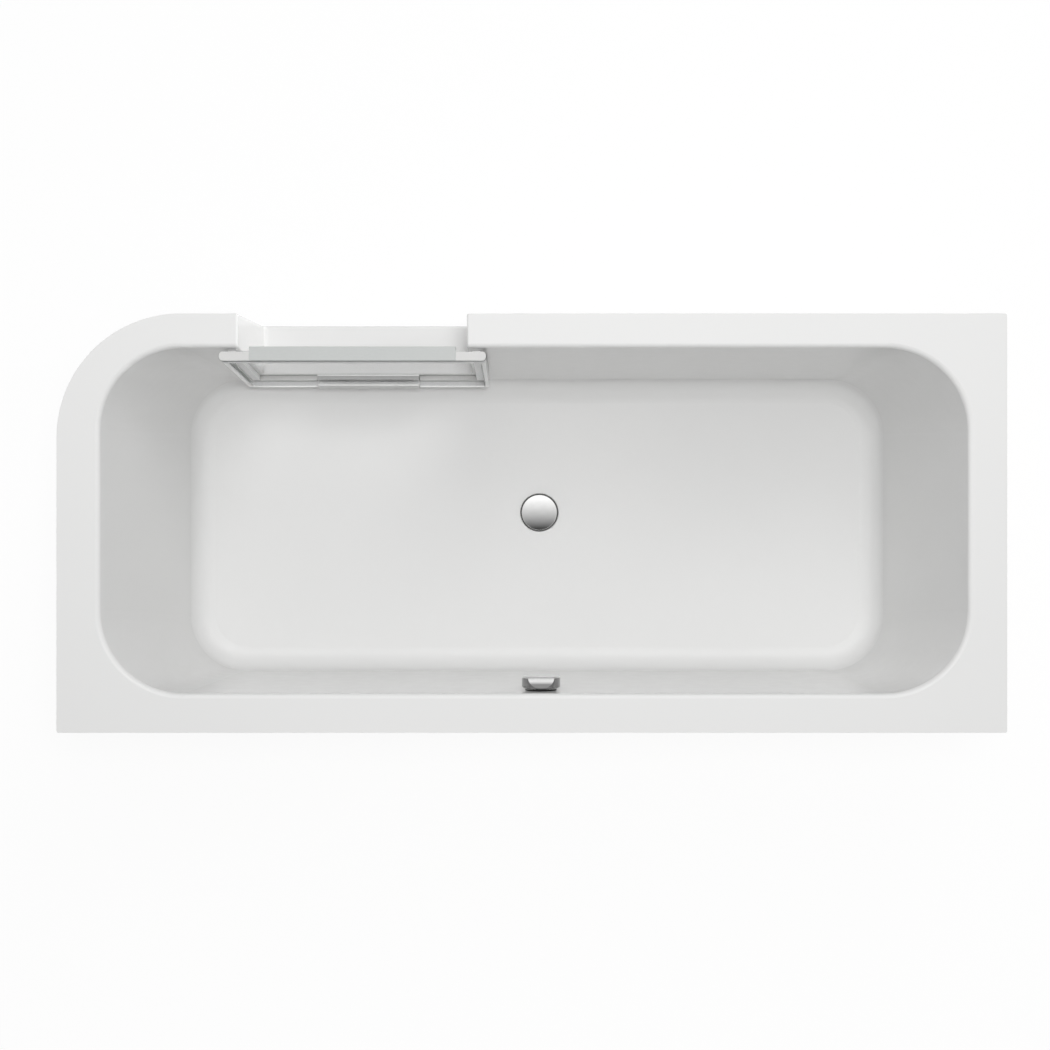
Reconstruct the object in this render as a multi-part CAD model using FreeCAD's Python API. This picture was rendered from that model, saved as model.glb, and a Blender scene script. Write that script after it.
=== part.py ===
import FreeCAD, Part
import math
import os

# A walk-in shower bath with a lift-out glass door, as separate pieces in one frame.
# Millimetres and degrees. Front is -Y, up is +Z, Z is zero at the ground.
# Pieces are built about the middle of the rim, then moved so that the overall box is centred on the origin.

Vector = FreeCAD.Vector
X_AXIS = Vector(1, 0, 0)
Y_AXIS = Vector(0, 1, 0)
Z_AXIS = Vector(0, 0, 1)
QUARTER_TURN = 90
FULL_TURN = 360
HEXAGON_SIDES = 6
CUBIC_MM_PER_CM3 = 1000
OVERRUN = 2.0
RUNNING_FIT = 0.05
CLEARANCE = 0.3

# Tub shell
RIM_LENGTH = 1700.0
RIM_WIDTH = 750.0
BASIN_DEPTH = 460.0
SHELL_WALL = 6.0
RIM_FRONT = 61.0
RIM_BACK = 70.0
RIM_LEFT = 68.0
RIM_RIGHT = 76.0
FRONT_DRAFT = 3.5
BACK_DRAFT = 1.3
LEFT_DRAFT = 10.0
RIGHT_DRAFT = 12.0
OUTER_DRAFT = 2.2
ROUND_CORNER = 222.0
SQUARE_CORNER = 4.0
BASIN_CORNER_TOP = 148.0
BASIN_CORNER_FLOOR = 110.0
FLOOR_FILLET = 45.0
RIM_EDGE = 9.0
LIP_DROP = 40.0

# Entry through the front rim
ENTRY_WIDTH = 410.0
ENTRY_FRAME = 40.0
ENTRY_EDGE = 4.0
SILL_CORNER = 8.0

# Apron round the front and the right end
APRON_WALL = 4.0
APRON_SETBACK = 2.0
APRON_JOINT = 3.0
APRON_GROUND_GAP = 8.0
HANGER_WALL = 3.0
HANGER_TOP_GAP = 9.0
HANGER_HEIGHT = 66.0
HANGER_END_GAP = 40.0
STAY_WIDTH = 30.0
STAY_WALL = 3.0
STAY_TAB = 32.0
STAY_LAP = 36.0
APRON_SCREW_RADIUS = 1.75
APRON_SCREW_BITE = 3.0
APRON_SCREW_HEAD_RADIUS = 3.5
APRON_SCREW_HEAD = 2.2
HANGER_SCREW_DROP = 14.0
FRONT_HANGER_SCREW_SHARES = (0.06, 0.35, 0.65, 0.94)
END_HANGER_SCREW_SHARES = (0.1, 0.5, 0.9)

# Under-floor board, rails and sill frame
BOARD_WALL = 16.0
BOARD_MARGIN = 24.0
BOARD_CORNER = 60.0
BATTEN_WIDTH = 36.0
BATTEN_HEIGHT = 20.0
BATTEN_END_GAP = 150.0
BATTEN_OVERFLOW_GAP = 60.0
RAIL_WIDTH = 40.0
RAIL_HEIGHT = 30.0
RAIL_WALL = 2.0
RAIL_LEFT_GAP = 350.0
RAIL_END_GAP = 14.0
POST_WIDTH = 30.0
RAIL_SCREW_RADIUS = 2.5
RAIL_SCREW_BITE = 11.0
RAIL_SCREW_HEAD_RADIUS = 5.0
RAIL_SCREW_HEAD = 3.0
RAIL_SCREW_SHARES = (-0.55, -0.2, 0.2, 0.55)

# Levelling feet
FOOT_INSET = 60.0
FOOT_POST_GAP = 50.0
STUD_RADIUS = 6.0
STUD_HOLE_GAP = 0.6
STUD_TOP_ROOM = 26.0
STUD_HEX_FLATS = 17.0
STUD_HEX_HEIGHT = 8.0
STUD_SEAT = 6.0
PAD_RADIUS = 26.0
PAD_HEIGHT = 14.0
PAD_EDGE = 3.0
NUT_FLATS = 19.0
NUT_HEIGHT = 10.0

# Glass door
GLASS_WALL = 8.0
GLASS_OVERLAP_SIDE = 32.0
GLASS_OVERLAP_SILL = 34.0
GLASS_CORNER = 12.0
DOOR_CORNER_GAP = 68.0
SEAL_WALL = 9.7
SEAL_WIDTH = 14.0
SEAL_INSET = 9.0
TRIM_WIDTH = 6.0
TRIM_WALL = 1.2
TOP_RAIL_WALL = 3.0
TOP_RAIL_HEIGHT = 34.0
TOP_RAIL_OVERHANG = 2.0
TOP_RAIL_DROP = 1.0
GRIP_END_GAP = 20.0
GRIP_DEPTH = 9.0
GRIP_HEIGHT = 22.0

# Tilting shoe and its bracket under the sill
SHOE_LENGTH = 200.0
SHOE_LIP = 4.5
SHOE_FLOOR = 6.0
SHOE_GASKET = 2.0
PIN_RADIUS = 4.0
KNUCKLE_RADIUS = 7.0
KNUCKLE_DROP = 9.0
EAR_WALL = 10.0
EAR_INSET = 6.0
EAR_GAP = 1.0
BRACKET_WALL = 4.0
BRACKET_HEIGHT = 24.0
BRACKET_FLOOR_GAP = 3.7
BRACKET_SCREW_RADIUS = 2.5
BRACKET_SCREW_HEAD_RADIUS = 4.5
BRACKET_SCREW_HEAD = 2.0
BRACKET_SCREW_SHARES = (-0.8, -0.27, 0.27, 0.8)
BACKPLATE_WALL = 3.0

# Waste, plug and trap
DRAIN_ENTRY_GAP = 133.0
DRAIN_FORWARD = 22.0
RECESS_RADIUS = 39.5
RECESS_DEPTH = 6.0
BOSS_RADIUS = 52.0
FLANGE_WALL = 3.0
FLANGE_GAP = 1.0
SLEEVE_RADIUS = 24.0
SLEEVE_WALL = 4.0
SLEEVE_LENGTH = 36.0
SLEEVE_HOLE_GAP = 2.0
GASKET_UPPER = 1.5
GASKET_LOWER = 3.0
CAP_RADIUS = 35.5
CAP_EDGE = 2.0
CAP_DOME = 6.0
PLUG_SEAL_RADIUS = 30.0
PLUG_SEAL_WIDTH = 6.0
PLUG_SEAL_HEIGHT = 2.0
STEM_RADIUS = 3.0
SPIDER_HUB = 6.5
SPIDER_HEIGHT = 7.0
SPIDER_ARM = 3.0
SPIDER_TURNS = (90, 210, 330)
BODY_FLANGE_RADIUS = 46.0
BODY_HEAD = 12.0
BODY_RADIUS = 38.0
BODY_WALL = 4.0
BODY_HEIGHT = 62.0
BODY_FOOT = 6.0
DIP_RADIUS = 21.0
DIP_WALL = 3.0
DIP_GAP = 9.0
TRAP_RADIUS = 50.0
TRAP_WALL = 3.0
TRAP_COLLAR = 2.0
TRAP_COLLAR_HEIGHT = 6.0
TRAP_GROUND_GAP = 10.0
WEIR_RADIUS = 32.0
WEIR_DROP = 14.0
TRAP_NUT_WALL = 5.0
TRAP_NUT_LIP = 4.0
OUTLET_RADIUS = 20.0
OUTLET_WALL = 2.5
OUTLET_LENGTH = 60.0
OUTLET_COLLAR_RADIUS = 24.0
OUTLET_COLLAR_LENGTH = 40.0
OUTLET_FLOOR_GAP = 3.0

# Lever that raises the plug
LEVER_ARM = 22.0
LEVER_PULL_ARM = 14.0
LEVER_WIDTH = 9.0
LEVER_EYE = 5.5
LEVER_TIP = 3.0
LEVER_RISE = 11.0
LEVER_PIN_RADIUS = 2.5
LUG_WALL = 4.0
LUG_GAP = 0.5

# Overflow and its turning knob
OVERFLOW_DROP = 64.0
OVERFLOW_RING_RADIUS = 29.0
OVERFLOW_RING_WALL = 2.5
OVERFLOW_SLEEVE_RADIUS = 20.0
OVERFLOW_SLEEVE_WALL = 2.5
OVERFLOW_GASKET = 4.0
OVERFLOW_GASKET_RADIUS = 33.0
OVERFLOW_BODY_RADIUS = 35.0
OVERFLOW_BODY_DEPTH = 44.0
OVERFLOW_BODY_WALL = 4.0
SPIGOT_LENGTH = 64.0
KNOB_RADIUS = 35.0
KNOB_DEPTH = 21.0
KNOB_GAP = 4.0
KNOB_EDGE = 3.0
KNOB_SCOOP_RADIUS = 34.0
KNOB_SCOOP_DEPTH = 10.0
KNOB_SCOOP_LEAD = 4.0
KNOB_NECK_RADIUS = 11.0
SPINDLE_RADIUS = 4.0
SPINDLE_SEAT = 12.0
CAM_RADIUS = 15.0
CAM_WIDTH = 8.0

# Overflow pipe and pull cable
PIPE_RADIUS = 16.0
PIPE_WALL = 2.0
PIPE_BEND = 55.0
PIPE_SEAT = 22.0
SOCKET_WALL = 4.0
SOCKET_LENGTH = 34.0
PIPE_NUT_WALL = 3.5
PIPE_NUT_LENGTH = 20.0
PIPE_NUT_LIP = 5.0
CABLE_RADIUS = 2.5
CABLE_OFFSET = 95.0
CABLE_SEAT = 10.0
CABLE_ROUTE_SHARES = (
    (0.84, 0.0, 0.0),
    (1.16, -0.003, 0.05),
    (1.28, -0.007, 0.165),
    (1.34, -0.012, 0.36),
    (1.3, -0.017, 0.56),
    (1.21, -0.015, 0.755),
    (1.13, 0.02, 0.9),
    (1.07, 0.125, 0.975),
    (1.04, 0.31, 0.992),
    (1.09, 0.55, 1.004),
    (1.2, 0.78, 1.0),
    (1.17, 0.925, 1.0),
    (0.98, 1.0, 1.0),
)
GLAND_RADIUS = 6.0
GLAND_LENGTH = 16.0

# Worked-out levels and places
OUTLET_HEIGHT = TRAP_GROUND_GAP + OUTLET_FLOOR_GAP + OUTLET_RADIUS
BODY_BOTTOM = OUTLET_HEIGHT + OUTLET_RADIUS + TRAP_NUT_LIP + TRAP_COLLAR_HEIGHT
BODY_TOP = BODY_BOTTOM + BODY_HEIGHT
BOSS_UNDERSIDE = BODY_TOP + GASKET_LOWER
RECESS_FLOOR = BOSS_UNDERSIDE + SHELL_WALL
FLOOR_HEIGHT = RECESS_FLOOR + RECESS_DEPTH
PIN_DROP = GLASS_OVERLAP_SILL + CLEARANCE + SHOE_FLOOR + KNUCKLE_DROP
SILL_RISE = PIN_DROP - KNUCKLE_RADIUS + BRACKET_HEIGHT + BRACKET_FLOOR_GAP + FLOOR_FILLET
RIM_HEIGHT = FLOOR_HEIGHT + BASIN_DEPTH
HALF_LENGTH = RIM_LENGTH / 2
HALF_WIDTH = RIM_WIDTH / 2
SILL_HEIGHT = FLOOR_HEIGHT + SILL_RISE
SILL_DEPTH = BASIN_DEPTH - SILL_RISE
SHELL_UNDERSIDE = FLOOR_HEIGHT - SHELL_WALL
BOARD_UNDERSIDE = SHELL_UNDERSIDE - BOARD_WALL
RAIL_UNDERSIDE = BOARD_UNDERSIDE - RAIL_HEIGHT
NUT_UNDERSIDE = RAIL_UNDERSIDE - NUT_HEIGHT
ENTRY_RIGHT = HALF_LENGTH - RIM_RIGHT - BASIN_CORNER_TOP - DOOR_CORNER_GAP - GLASS_OVERLAP_SIDE
ENTRY_LEFT = ENTRY_RIGHT - ENTRY_WIDTH
ENTRY_CENTRE = (ENTRY_LEFT + ENTRY_RIGHT) / 2
FRONT_RIM_MIDDLE = -HALF_WIDTH + RIM_FRONT / 2
RAIL_LEFT_X = -HALF_LENGTH + RAIL_LEFT_GAP
RAIL_MIDDLE_X = ENTRY_LEFT + RAIL_WIDTH / 2
RAIL_RIGHT_X = ENTRY_RIGHT - RAIL_WIDTH / 2
SKIN_INNER = APRON_SETBACK + APRON_WALL
OVERFLOW_HEIGHT = RIM_HEIGHT - OVERFLOW_DROP
DRAIN_X = ENTRY_LEFT - DRAIN_ENTRY_GAP
DRAIN_Y = -DRAIN_FORWARD
OVERFLOW_X = DRAIN_X


def tangent(angle):
    return math.tan(math.radians(angle))


def box(x0, x1, y0, y1, z0, z1):
    return Part.makeBox(x1 - x0, y1 - y0, z1 - z0, Vector(x0, y0, z0))


def rod(radius, start, end):
    way = end - start
    return Part.makeCylinder(radius, way.Length, start, way)


def hexagon(flats, height, base):
    radius = flats / math.sqrt(3)
    corners = []
    for index in range(HEXAGON_SIDES):
        angle = math.radians(FULL_TURN * index / HEXAGON_SIDES)
        corners.append(base + Vector(math.cos(angle), math.sin(angle), 0) * radius)
    return Part.Face(Part.makePolygon(corners + corners[:1])).extrude(Z_AXIS * height)


def joined(shapes):
    return shapes[0].multiFuse(shapes[1:]).removeSplitter()


def grouped(shapes):
    return Part.makeCompound(shapes)


def edges_where(shape, test):
    return [edge for edge in shape.Edges if test(edge)]


def lies_at(edge, axis, place):
    box_of = edge.BoundBox
    low = getattr(box_of, axis + "Min")
    high = getattr(box_of, axis + "Max")
    return abs(low - place) < CLEARANCE and abs(high - place) < CLEARANCE


def rounded_outline(x0, x1, y0, y1, radii, z):
    """A closed outline at one height, with a radius for each corner from (x0, y0) anticlockwise."""
    corners = ((x0, y0, 1, 1), (x1, y0, -1, 1), (x1, y1, -1, -1), (x0, y1, 1, -1))
    edges = []
    ends = []
    for index, (x, y, inward_x, inward_y) in enumerate(corners):
        radius = max(radii[index], 0)
        beside_x = Vector(x + inward_x * radius, y, z)
        beside_y = Vector(x, y + inward_y * radius, z)
        first, last = (beside_y, beside_x) if index % 2 == 0 else (beside_x, beside_y)
        centre = Vector(x + inward_x * radius, y + inward_y * radius, z)
        outward = Vector(-inward_x, -inward_y, 0) * (radius / math.sqrt(2))
        ends.append((first, last))
        if radius > 0:
            edges.append(Part.Arc(first, centre + outward, last).toShape())
    for index, (_, last) in enumerate(ends):
        following = ends[(index + 1) % len(ends)][0]
        edges.append(Part.LineSegment(last, following).toShape())
    return Part.Wire(Part.__sortEdges__(edges))


def tapered_block(low, high, low_radii, high_radii):
    """Four flat drafted walls between two rings of corners, each corner with a foot and a head radius."""
    rings = [low[::-1], high]
    for index in range(len(low)):
        following = (index + 1) % len(low)
        rings.append([low[index], low[following], high[following], high[index]])
    faces = [Part.Face(Part.makePolygon(ring + ring[:1])) for ring in rings]
    block = Part.makeSolid(Part.makeShell(faces))
    for foot, head, low_radius, high_radius in zip(low, high, low_radii, high_radii):
        if low_radius > 0 and high_radius > 0:
            edge = edges_where(block, lambda edge: joins(edge, foot, head))[0]
            upwards = edge.valueAt(edge.FirstParameter).z < edge.valueAt(edge.LastParameter).z
            radii = (low_radius, high_radius) if upwards else (high_radius, low_radius)
            block = block.makeFillet(*radii, [edge])
    return block


def joins(edge, foot, head):
    ends = [vertex.Point for vertex in edge.Vertexes]
    return all(min(end.distanceToPoint(place) for end in ends) < RUNNING_FIT for place in (foot, head))


def flare(z):
    return (RIM_HEIGHT - z) * tangent(OUTER_DRAFT)


def ring_of(x0, x1, y0, y1, z):
    return [Vector(x0, y0, z), Vector(x1, y0, z), Vector(x1, y1, z), Vector(x0, y1, z)]


def envelope(z0, z1, inset, wall_inset):
    """The outside of the tub from z0 to z1, drafted on the front and right and upright on the wall sides."""
    rings = []
    radii = []
    square = SQUARE_CORNER - inset
    for z in (-OVERRUN, RIM_HEIGHT + OVERRUN):
        right = HALF_LENGTH + flare(z) - inset
        front = -HALF_WIDTH - flare(z) + inset
        rings.append(ring_of(-HALF_LENGTH + wall_inset, right, front, HALF_WIDTH - wall_inset, z))
        radii.append((square, ROUND_CORNER + flare(z) - inset, square, square))
    return tapered_block(*rings, *radii).common(layer(z0, z1))


def layer(z0, z1):
    return box(-RIM_LENGTH, RIM_LENGTH, -RIM_LENGTH, RIM_LENGTH, z0, z1)


def room_side_skin(inset, wall):
    """A skin of one wall along the front, the round corner and the right end."""
    outer = envelope(0, RIM_HEIGHT, inset, inset)
    return outer.cut(envelope(-OVERRUN, RIM_HEIGHT + OVERRUN, inset + wall, -OVERRUN))


def basin_front(z):
    return -HALF_WIDTH + RIM_FRONT + (RIM_HEIGHT - z) * tangent(FRONT_DRAFT)


def basin_back(z):
    return HALF_WIDTH - RIM_BACK - (RIM_HEIGHT - z) * tangent(BACK_DRAFT)


def basin_left(z):
    return -HALF_LENGTH + RIM_LEFT + (RIM_HEIGHT - z) * tangent(LEFT_DRAFT)


def basin_right(z):
    return HALF_LENGTH - RIM_RIGHT - (RIM_HEIGHT - z) * tangent(RIGHT_DRAFT)


def basin_ring(z, grow):
    left = basin_left(z) - grow
    right = basin_right(z) + grow
    return ring_of(left, right, basin_front(z) - grow, basin_back(z) + grow, z)


def basin_corner(z, grow):
    fall_share = (RIM_HEIGHT - z) / BASIN_DEPTH
    return BASIN_CORNER_TOP + (BASIN_CORNER_FLOOR - BASIN_CORNER_TOP) * fall_share + grow


def basin_block(top, floor, grow):
    """The basin's space: four flat drafted walls, tapering round corners and a rounded foot."""
    low = basin_ring(floor, grow)
    high = basin_ring(top, grow)
    low_radii = [basin_corner(floor, grow)] * len(low)
    high_radii = [basin_corner(top, grow)] * len(high)
    block = tapered_block(low, high, low_radii, high_radii)
    floor_edges = edges_where(block, lambda edge: lies_at(edge, "Z", floor))
    return block.makeFillet(FLOOR_FILLET + grow, floor_edges)


POCKET = basin_block(RIM_HEIGHT + OVERRUN, FLOOR_HEIGHT, 0)
BASIN_OUTSIDE = basin_block(RIM_HEIGHT, SHELL_UNDERSIDE, SHELL_WALL)
DRAIN = Vector(DRAIN_X, DRAIN_Y, 0)
DRAIN_HOLE = SLEEVE_RADIUS + SLEEVE_HOLE_GAP
OVERFLOW_WALL_Y = basin_back(OVERFLOW_HEIGHT)
OVERFLOW = Vector(OVERFLOW_X, OVERFLOW_WALL_Y, OVERFLOW_HEIGHT)
OVERFLOW_HOLE = OVERFLOW_SLEEVE_RADIUS + SLEEVE_HOLE_GAP


def at_drain(radius, z0, z1):
    return rod(radius, DRAIN + Z_AXIS * z0, DRAIN + Z_AXIS * z1)


def drain_tube(radius, bore, z0, z1):
    return at_drain(radius, z0, z1).cut(at_drain(bore, z0, z1))


def at_overflow(radius, y0, y1):
    return rod(radius, OVERFLOW + Y_AXIS * y0, OVERFLOW + Y_AXIS * y1)


# Door pieces are drawn in the plane of the front wall: X along it, Y into the basin, Z up it from the rim.
DOOR_PLACE = FreeCAD.Placement(
    Vector(ENTRY_CENTRE, basin_front(RIM_HEIGHT), RIM_HEIGHT),
    FreeCAD.Rotation(X_AXIS, FRONT_DRAFT),
)
UP_WALL = 1 / math.cos(math.radians(FRONT_DRAFT))


def on_front_wall(shape):
    placed = shape.copy()
    placed.Placement = DOOR_PLACE.multiply(placed.Placement)
    return placed


SILL_LEVEL = -SILL_DEPTH * UP_WALL
GLASS_HALF = ENTRY_WIDTH / 2 + GLASS_OVERLAP_SIDE
GLASS_BOTTOM = SILL_LEVEL - GLASS_OVERLAP_SILL
GLASS_OUTER = SEAL_WALL + CLEARANCE
GLASS_INNER = GLASS_OUTER + GLASS_WALL
SHOE_HALF = SHOE_LENGTH / 2
SHOE_UNDERSIDE = GLASS_BOTTOM - CLEARANCE - SHOE_FLOOR
SHOE_INNER = GLASS_INNER + CLEARANCE + SHOE_LIP
PIN_LEVEL = SILL_LEVEL - PIN_DROP
PIN_DEPTH = (GLASS_OUTER + GLASS_INNER) / 2
BRACKET_TOP = PIN_LEVEL + KNUCKLE_RADIUS
BRACKET_BOTTOM = BRACKET_TOP - BRACKET_HEIGHT
EAR_OUTER = SHOE_HALF - EAR_INSET
EAR_INNER = EAR_OUTER - EAR_WALL


def bracket_screws():
    screws = []
    level = (BRACKET_TOP + BRACKET_BOTTOM) / 2 - PIN_RADIUS
    back = -SHELL_WALL - BACKPLATE_WALL
    for share in BRACKET_SCREW_SHARES:
        middle = Vector(share * EAR_INNER, 0, level)
        head_end = BRACKET_WALL + BRACKET_SCREW_HEAD
        shank = rod(BRACKET_SCREW_RADIUS, middle + Y_AXIS * back, middle + Y_AXIS * BRACKET_WALL)
        head = rod(BRACKET_SCREW_HEAD_RADIUS, middle + Y_AXIS * BRACKET_WALL, middle + Y_AXIS * head_end)
        screws.append(on_front_wall(joined([shank, head])))
    return grouped(screws)


def entry_opening(room):
    """The space of the entry, grown by room into its sill and jambs."""
    return box(
        ENTRY_LEFT - room,
        ENTRY_RIGHT + room,
        -HALF_WIDTH - flare(0) - OVERRUN,
        basin_front(SILL_HEIGHT) + RIM_FRONT,
        SILL_HEIGHT - room,
        RIM_HEIGHT + OVERRUN,
    )


def lip_zone(room):
    """Where the shell shows on its outside: along the rim and round the entry."""
    rim = layer(RIM_HEIGHT - LIP_DROP - room, RIM_HEIGHT + OVERRUN)
    frame = box(
        ENTRY_LEFT - ENTRY_FRAME - room,
        ENTRY_RIGHT + ENTRY_FRAME + room,
        -RIM_WIDTH,
        basin_front(RIM_HEIGHT) - SHELL_WALL,
        SILL_HEIGHT - ENTRY_FRAME - room,
        RIM_HEIGHT + OVERRUN,
    )
    return joined([rim, frame])


def rounded_mouth():
    """The basin's mouth with its edge rounded over, as a block to cut away."""
    x0 = basin_left(RIM_HEIGHT) - RIM_LEFT / 2
    x1 = basin_right(RIM_HEIGHT) + RIM_RIGHT / 2
    y0 = basin_front(RIM_HEIGHT) - RIM_FRONT / 2
    y1 = basin_back(RIM_HEIGHT) + RIM_BACK / 2
    block = box(x0, x1, y0, y1, RIM_HEIGHT - LIP_DROP, RIM_HEIGHT)
    collar = block.cut(POCKET)

    def is_mouth(edge):
        middle = edge.BoundBox.Center
        inside = x0 + CLEARANCE < middle.x < x1 - CLEARANCE and y0 + CLEARANCE < middle.y < y1 - CLEARANCE
        return inside and lies_at(edge, "Z", RIM_HEIGHT)

    return block.cut(collar.makeFillet(RIM_EDGE, edges_where(collar, is_mouth)))


def tub_shell():
    slab = envelope(RIM_HEIGHT - SHELL_WALL, RIM_HEIGHT, 0, 0)
    low = SILL_HEIGHT - ENTRY_FRAME
    outside = envelope(low, RIM_HEIGHT, 0, 0)
    core = envelope(low - OVERRUN, RIM_HEIGHT + OVERRUN, SHELL_WALL, SHELL_WALL)
    lip = outside.cut(core).common(lip_zone(0))
    boss = at_drain(BOSS_RADIUS, BOSS_UNDERSIDE, FLOOR_HEIGHT)
    shell = slab.multiFuse([lip, BASIN_OUTSIDE, boss])
    mouth = rounded_mouth()
    liner = entry_opening(SHELL_WALL).common(outside).cut(POCKET).cut(mouth)
    shell = shell.cut(POCKET).cut(mouth).fuse(liner).cut(entry_opening(0)).removeSplitter()
    shell = rounded_entry(shell)
    shell = shell.cut(at_drain(RECESS_RADIUS, RECESS_FLOOR, FLOOR_HEIGHT + OVERRUN))
    shell = shell.cut(at_drain(DRAIN_HOLE, BOSS_UNDERSIDE - OVERRUN, FLOOR_HEIGHT))
    shell = shell.cut(at_overflow(OVERFLOW_HOLE, -SHELL_WALL, SHELL_WALL * 2))
    return shell.cut(bracket_screws())


def rounded_entry(shell):
    """Rounds the corners between sill and jambs, then every edge that a hand or foot meets there."""
    behind = basin_front(SILL_HEIGHT) + CLEARANCE

    def on_jamb(edge):
        return lies_at(edge, "X", ENTRY_LEFT) or lies_at(edge, "X", ENTRY_RIGHT)

    def is_corner(edge):
        return on_jamb(edge) and lies_at(edge, "Z", SILL_HEIGHT)

    def is_outer_edge(edge):
        bounds = edge.BoundBox
        on_sill = bounds.YLength < CLEARANCE and lies_at(edge, "Z", SILL_HEIGHT)
        in_entry = bounds.XMin > ENTRY_LEFT - CLEARANCE and bounds.XMax < ENTRY_RIGHT + CLEARANCE
        return in_entry and bounds.YMax < behind and (on_jamb(edge) or on_sill)

    shell = shell.makeFillet(SILL_CORNER, edges_where(shell, is_corner))
    return shell.makeFillet(ENTRY_EDGE, edges_where(shell, is_outer_edge))


def front_screw(x, depth_inset, z):
    """A screw whose head lies inside the front skin at depth_inset and bites outwards."""
    return outward_screw(Vector(x, -HALF_WIDTH - flare(z) + depth_inset, z), Vector(0, -1, 0))


def end_screw(y, depth_inset, z):
    return outward_screw(Vector(HALF_LENGTH + flare(z) - depth_inset, y, z), Vector(1, 0, 0))


def outward_screw(seat, outward):
    way = outward * math.cos(math.radians(OUTER_DRAFT)) + Z_AXIS * math.sin(math.radians(OUTER_DRAFT))
    shank = rod(APRON_SCREW_RADIUS, seat, seat + way * (HANGER_WALL + APRON_SCREW_BITE))
    head = rod(APRON_SCREW_HEAD_RADIUS, seat - way * APRON_SCREW_HEAD, seat)
    return joined([head, shank])


HANGER_TOP = RIM_HEIGHT - HANGER_TOP_GAP
HANGER_BOTTOM = HANGER_TOP - HANGER_HEIGHT
FRONT_HANGER = (-HALF_LENGTH + HANGER_END_GAP, ENTRY_LEFT - ENTRY_FRAME - HANGER_END_GAP)
END_HANGER = (-HALF_WIDTH + ROUND_CORNER + HANGER_END_GAP, HALF_WIDTH - HANGER_END_GAP)
STAY_TOP = RAIL_UNDERSIDE + STAY_TAB
STAY_UNDERSIDE = RAIL_UNDERSIDE - STAY_WALL
STAY_SCREW_HEIGHT = RAIL_UNDERSIDE + STAY_TAB / 2


def along(span, share):
    return span[0] + (span[1] - span[0]) * share


def apron_screws():
    inset = SKIN_INNER + HANGER_WALL
    level = HANGER_BOTTOM + HANGER_SCREW_DROP
    screws = [front_screw(along(FRONT_HANGER, share), inset, level) for share in FRONT_HANGER_SCREW_SHARES]
    screws += [end_screw(along(END_HANGER, share), inset, level) for share in END_HANGER_SCREW_SHARES]
    for rail_x in (RAIL_LEFT_X, RAIL_MIDDLE_X, RAIL_RIGHT_X):
        screws.append(front_screw(rail_x, inset, STAY_SCREW_HEIGHT))
    screws.append(end_screw(0, inset, STAY_SCREW_HEIGHT))
    return grouped(screws)


def apron_panel():
    skin = room_side_skin(APRON_SETBACK, APRON_WALL)
    return skin.cut(layer(-OVERRUN, APRON_GROUND_GAP)).cut(lip_zone(APRON_JOINT)).cut(apron_screws())


def apron_hangers():
    skin = room_side_skin(SKIN_INNER, HANGER_WALL)
    front = box(*FRONT_HANGER, -RIM_LENGTH, -HALF_WIDTH + RIM_FRONT, HANGER_BOTTOM, HANGER_TOP)
    end = box(HALF_LENGTH - RIM_RIGHT, RIM_LENGTH, *END_HANGER, HANGER_BOTTOM, HANGER_TOP)
    screws = apron_screws()
    return [skin.common(zone).cut(screws) for zone in (front, end)]


def apron_stays():
    """Flat arms under the rails that end in a tab against the apron."""
    skin = room_side_skin(SKIN_INNER, STAY_WALL)
    inside = envelope(0, RIM_HEIGHT, SKIN_INNER, SKIN_INNER)
    screws = apron_screws()
    half = STAY_WIDTH / 2
    stays = []
    fronts = {RAIL_LEFT_X: LEFT_RAIL_FRONT, RAIL_MIDDLE_X: LONG_RAIL_FRONT, RAIL_RIGHT_X: LONG_RAIL_FRONT}
    for rail_x, rail_front in fronts.items():
        reach = (rail_x - half, rail_x + half, -RIM_WIDTH, rail_front + STAY_LAP)
        arm = box(*reach, STAY_UNDERSIDE, RAIL_UNDERSIDE).common(inside)
        tab = box(*reach, STAY_UNDERSIDE, STAY_TOP).common(skin)
        stays.append(joined([arm, tab]).cut(screws))
    reach = (RAIL_RIGHT_X + RAIL_WIDTH / 2 - STAY_LAP, RIM_LENGTH, -half, half)
    arm = box(*reach, STAY_UNDERSIDE, RAIL_UNDERSIDE).common(inside)
    tab = box(*reach, STAY_UNDERSIDE, STAY_TOP).common(skin)
    stays.append(joined([arm, tab]).cut(screws))
    return grouped(stays)


FLAT_LEFT = basin_left(FLOOR_HEIGHT) + FLOOR_FILLET
FLAT_RIGHT = basin_right(FLOOR_HEIGHT) - FLOOR_FILLET
FLAT_FRONT = basin_front(FLOOR_HEIGHT) + FLOOR_FILLET
FLAT_BACK = basin_back(FLOOR_HEIGHT) - FLOOR_FILLET
LEFT_RAIL_FRONT = FLAT_FRONT
LONG_RAIL_FRONT = FRONT_RIM_MIDDLE - POST_WIDTH / 2 - RAIL_END_GAP
RAIL_BACK = FLAT_BACK
RAILS = {
    "left": (RAIL_LEFT_X, LEFT_RAIL_FRONT),
    "middle": (RAIL_MIDDLE_X, LONG_RAIL_FRONT),
    "right": (RAIL_RIGHT_X, LONG_RAIL_FRONT),
}
FEET = {
    "left_front": Vector(RAIL_LEFT_X, LEFT_RAIL_FRONT + FOOT_INSET, 0),
    "left_back": Vector(RAIL_LEFT_X, RAIL_BACK - FOOT_INSET, 0),
    "middle_front": Vector(RAIL_MIDDLE_X, FRONT_RIM_MIDDLE + FOOT_POST_GAP, 0),
    "middle_back": Vector(RAIL_MIDDLE_X, RAIL_BACK - FOOT_INSET, 0),
    "right_front": Vector(RAIL_RIGHT_X, FRONT_RIM_MIDDLE + FOOT_POST_GAP, 0),
    "right_back": Vector(RAIL_RIGHT_X, RAIL_BACK - FOOT_INSET, 0),
}


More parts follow.
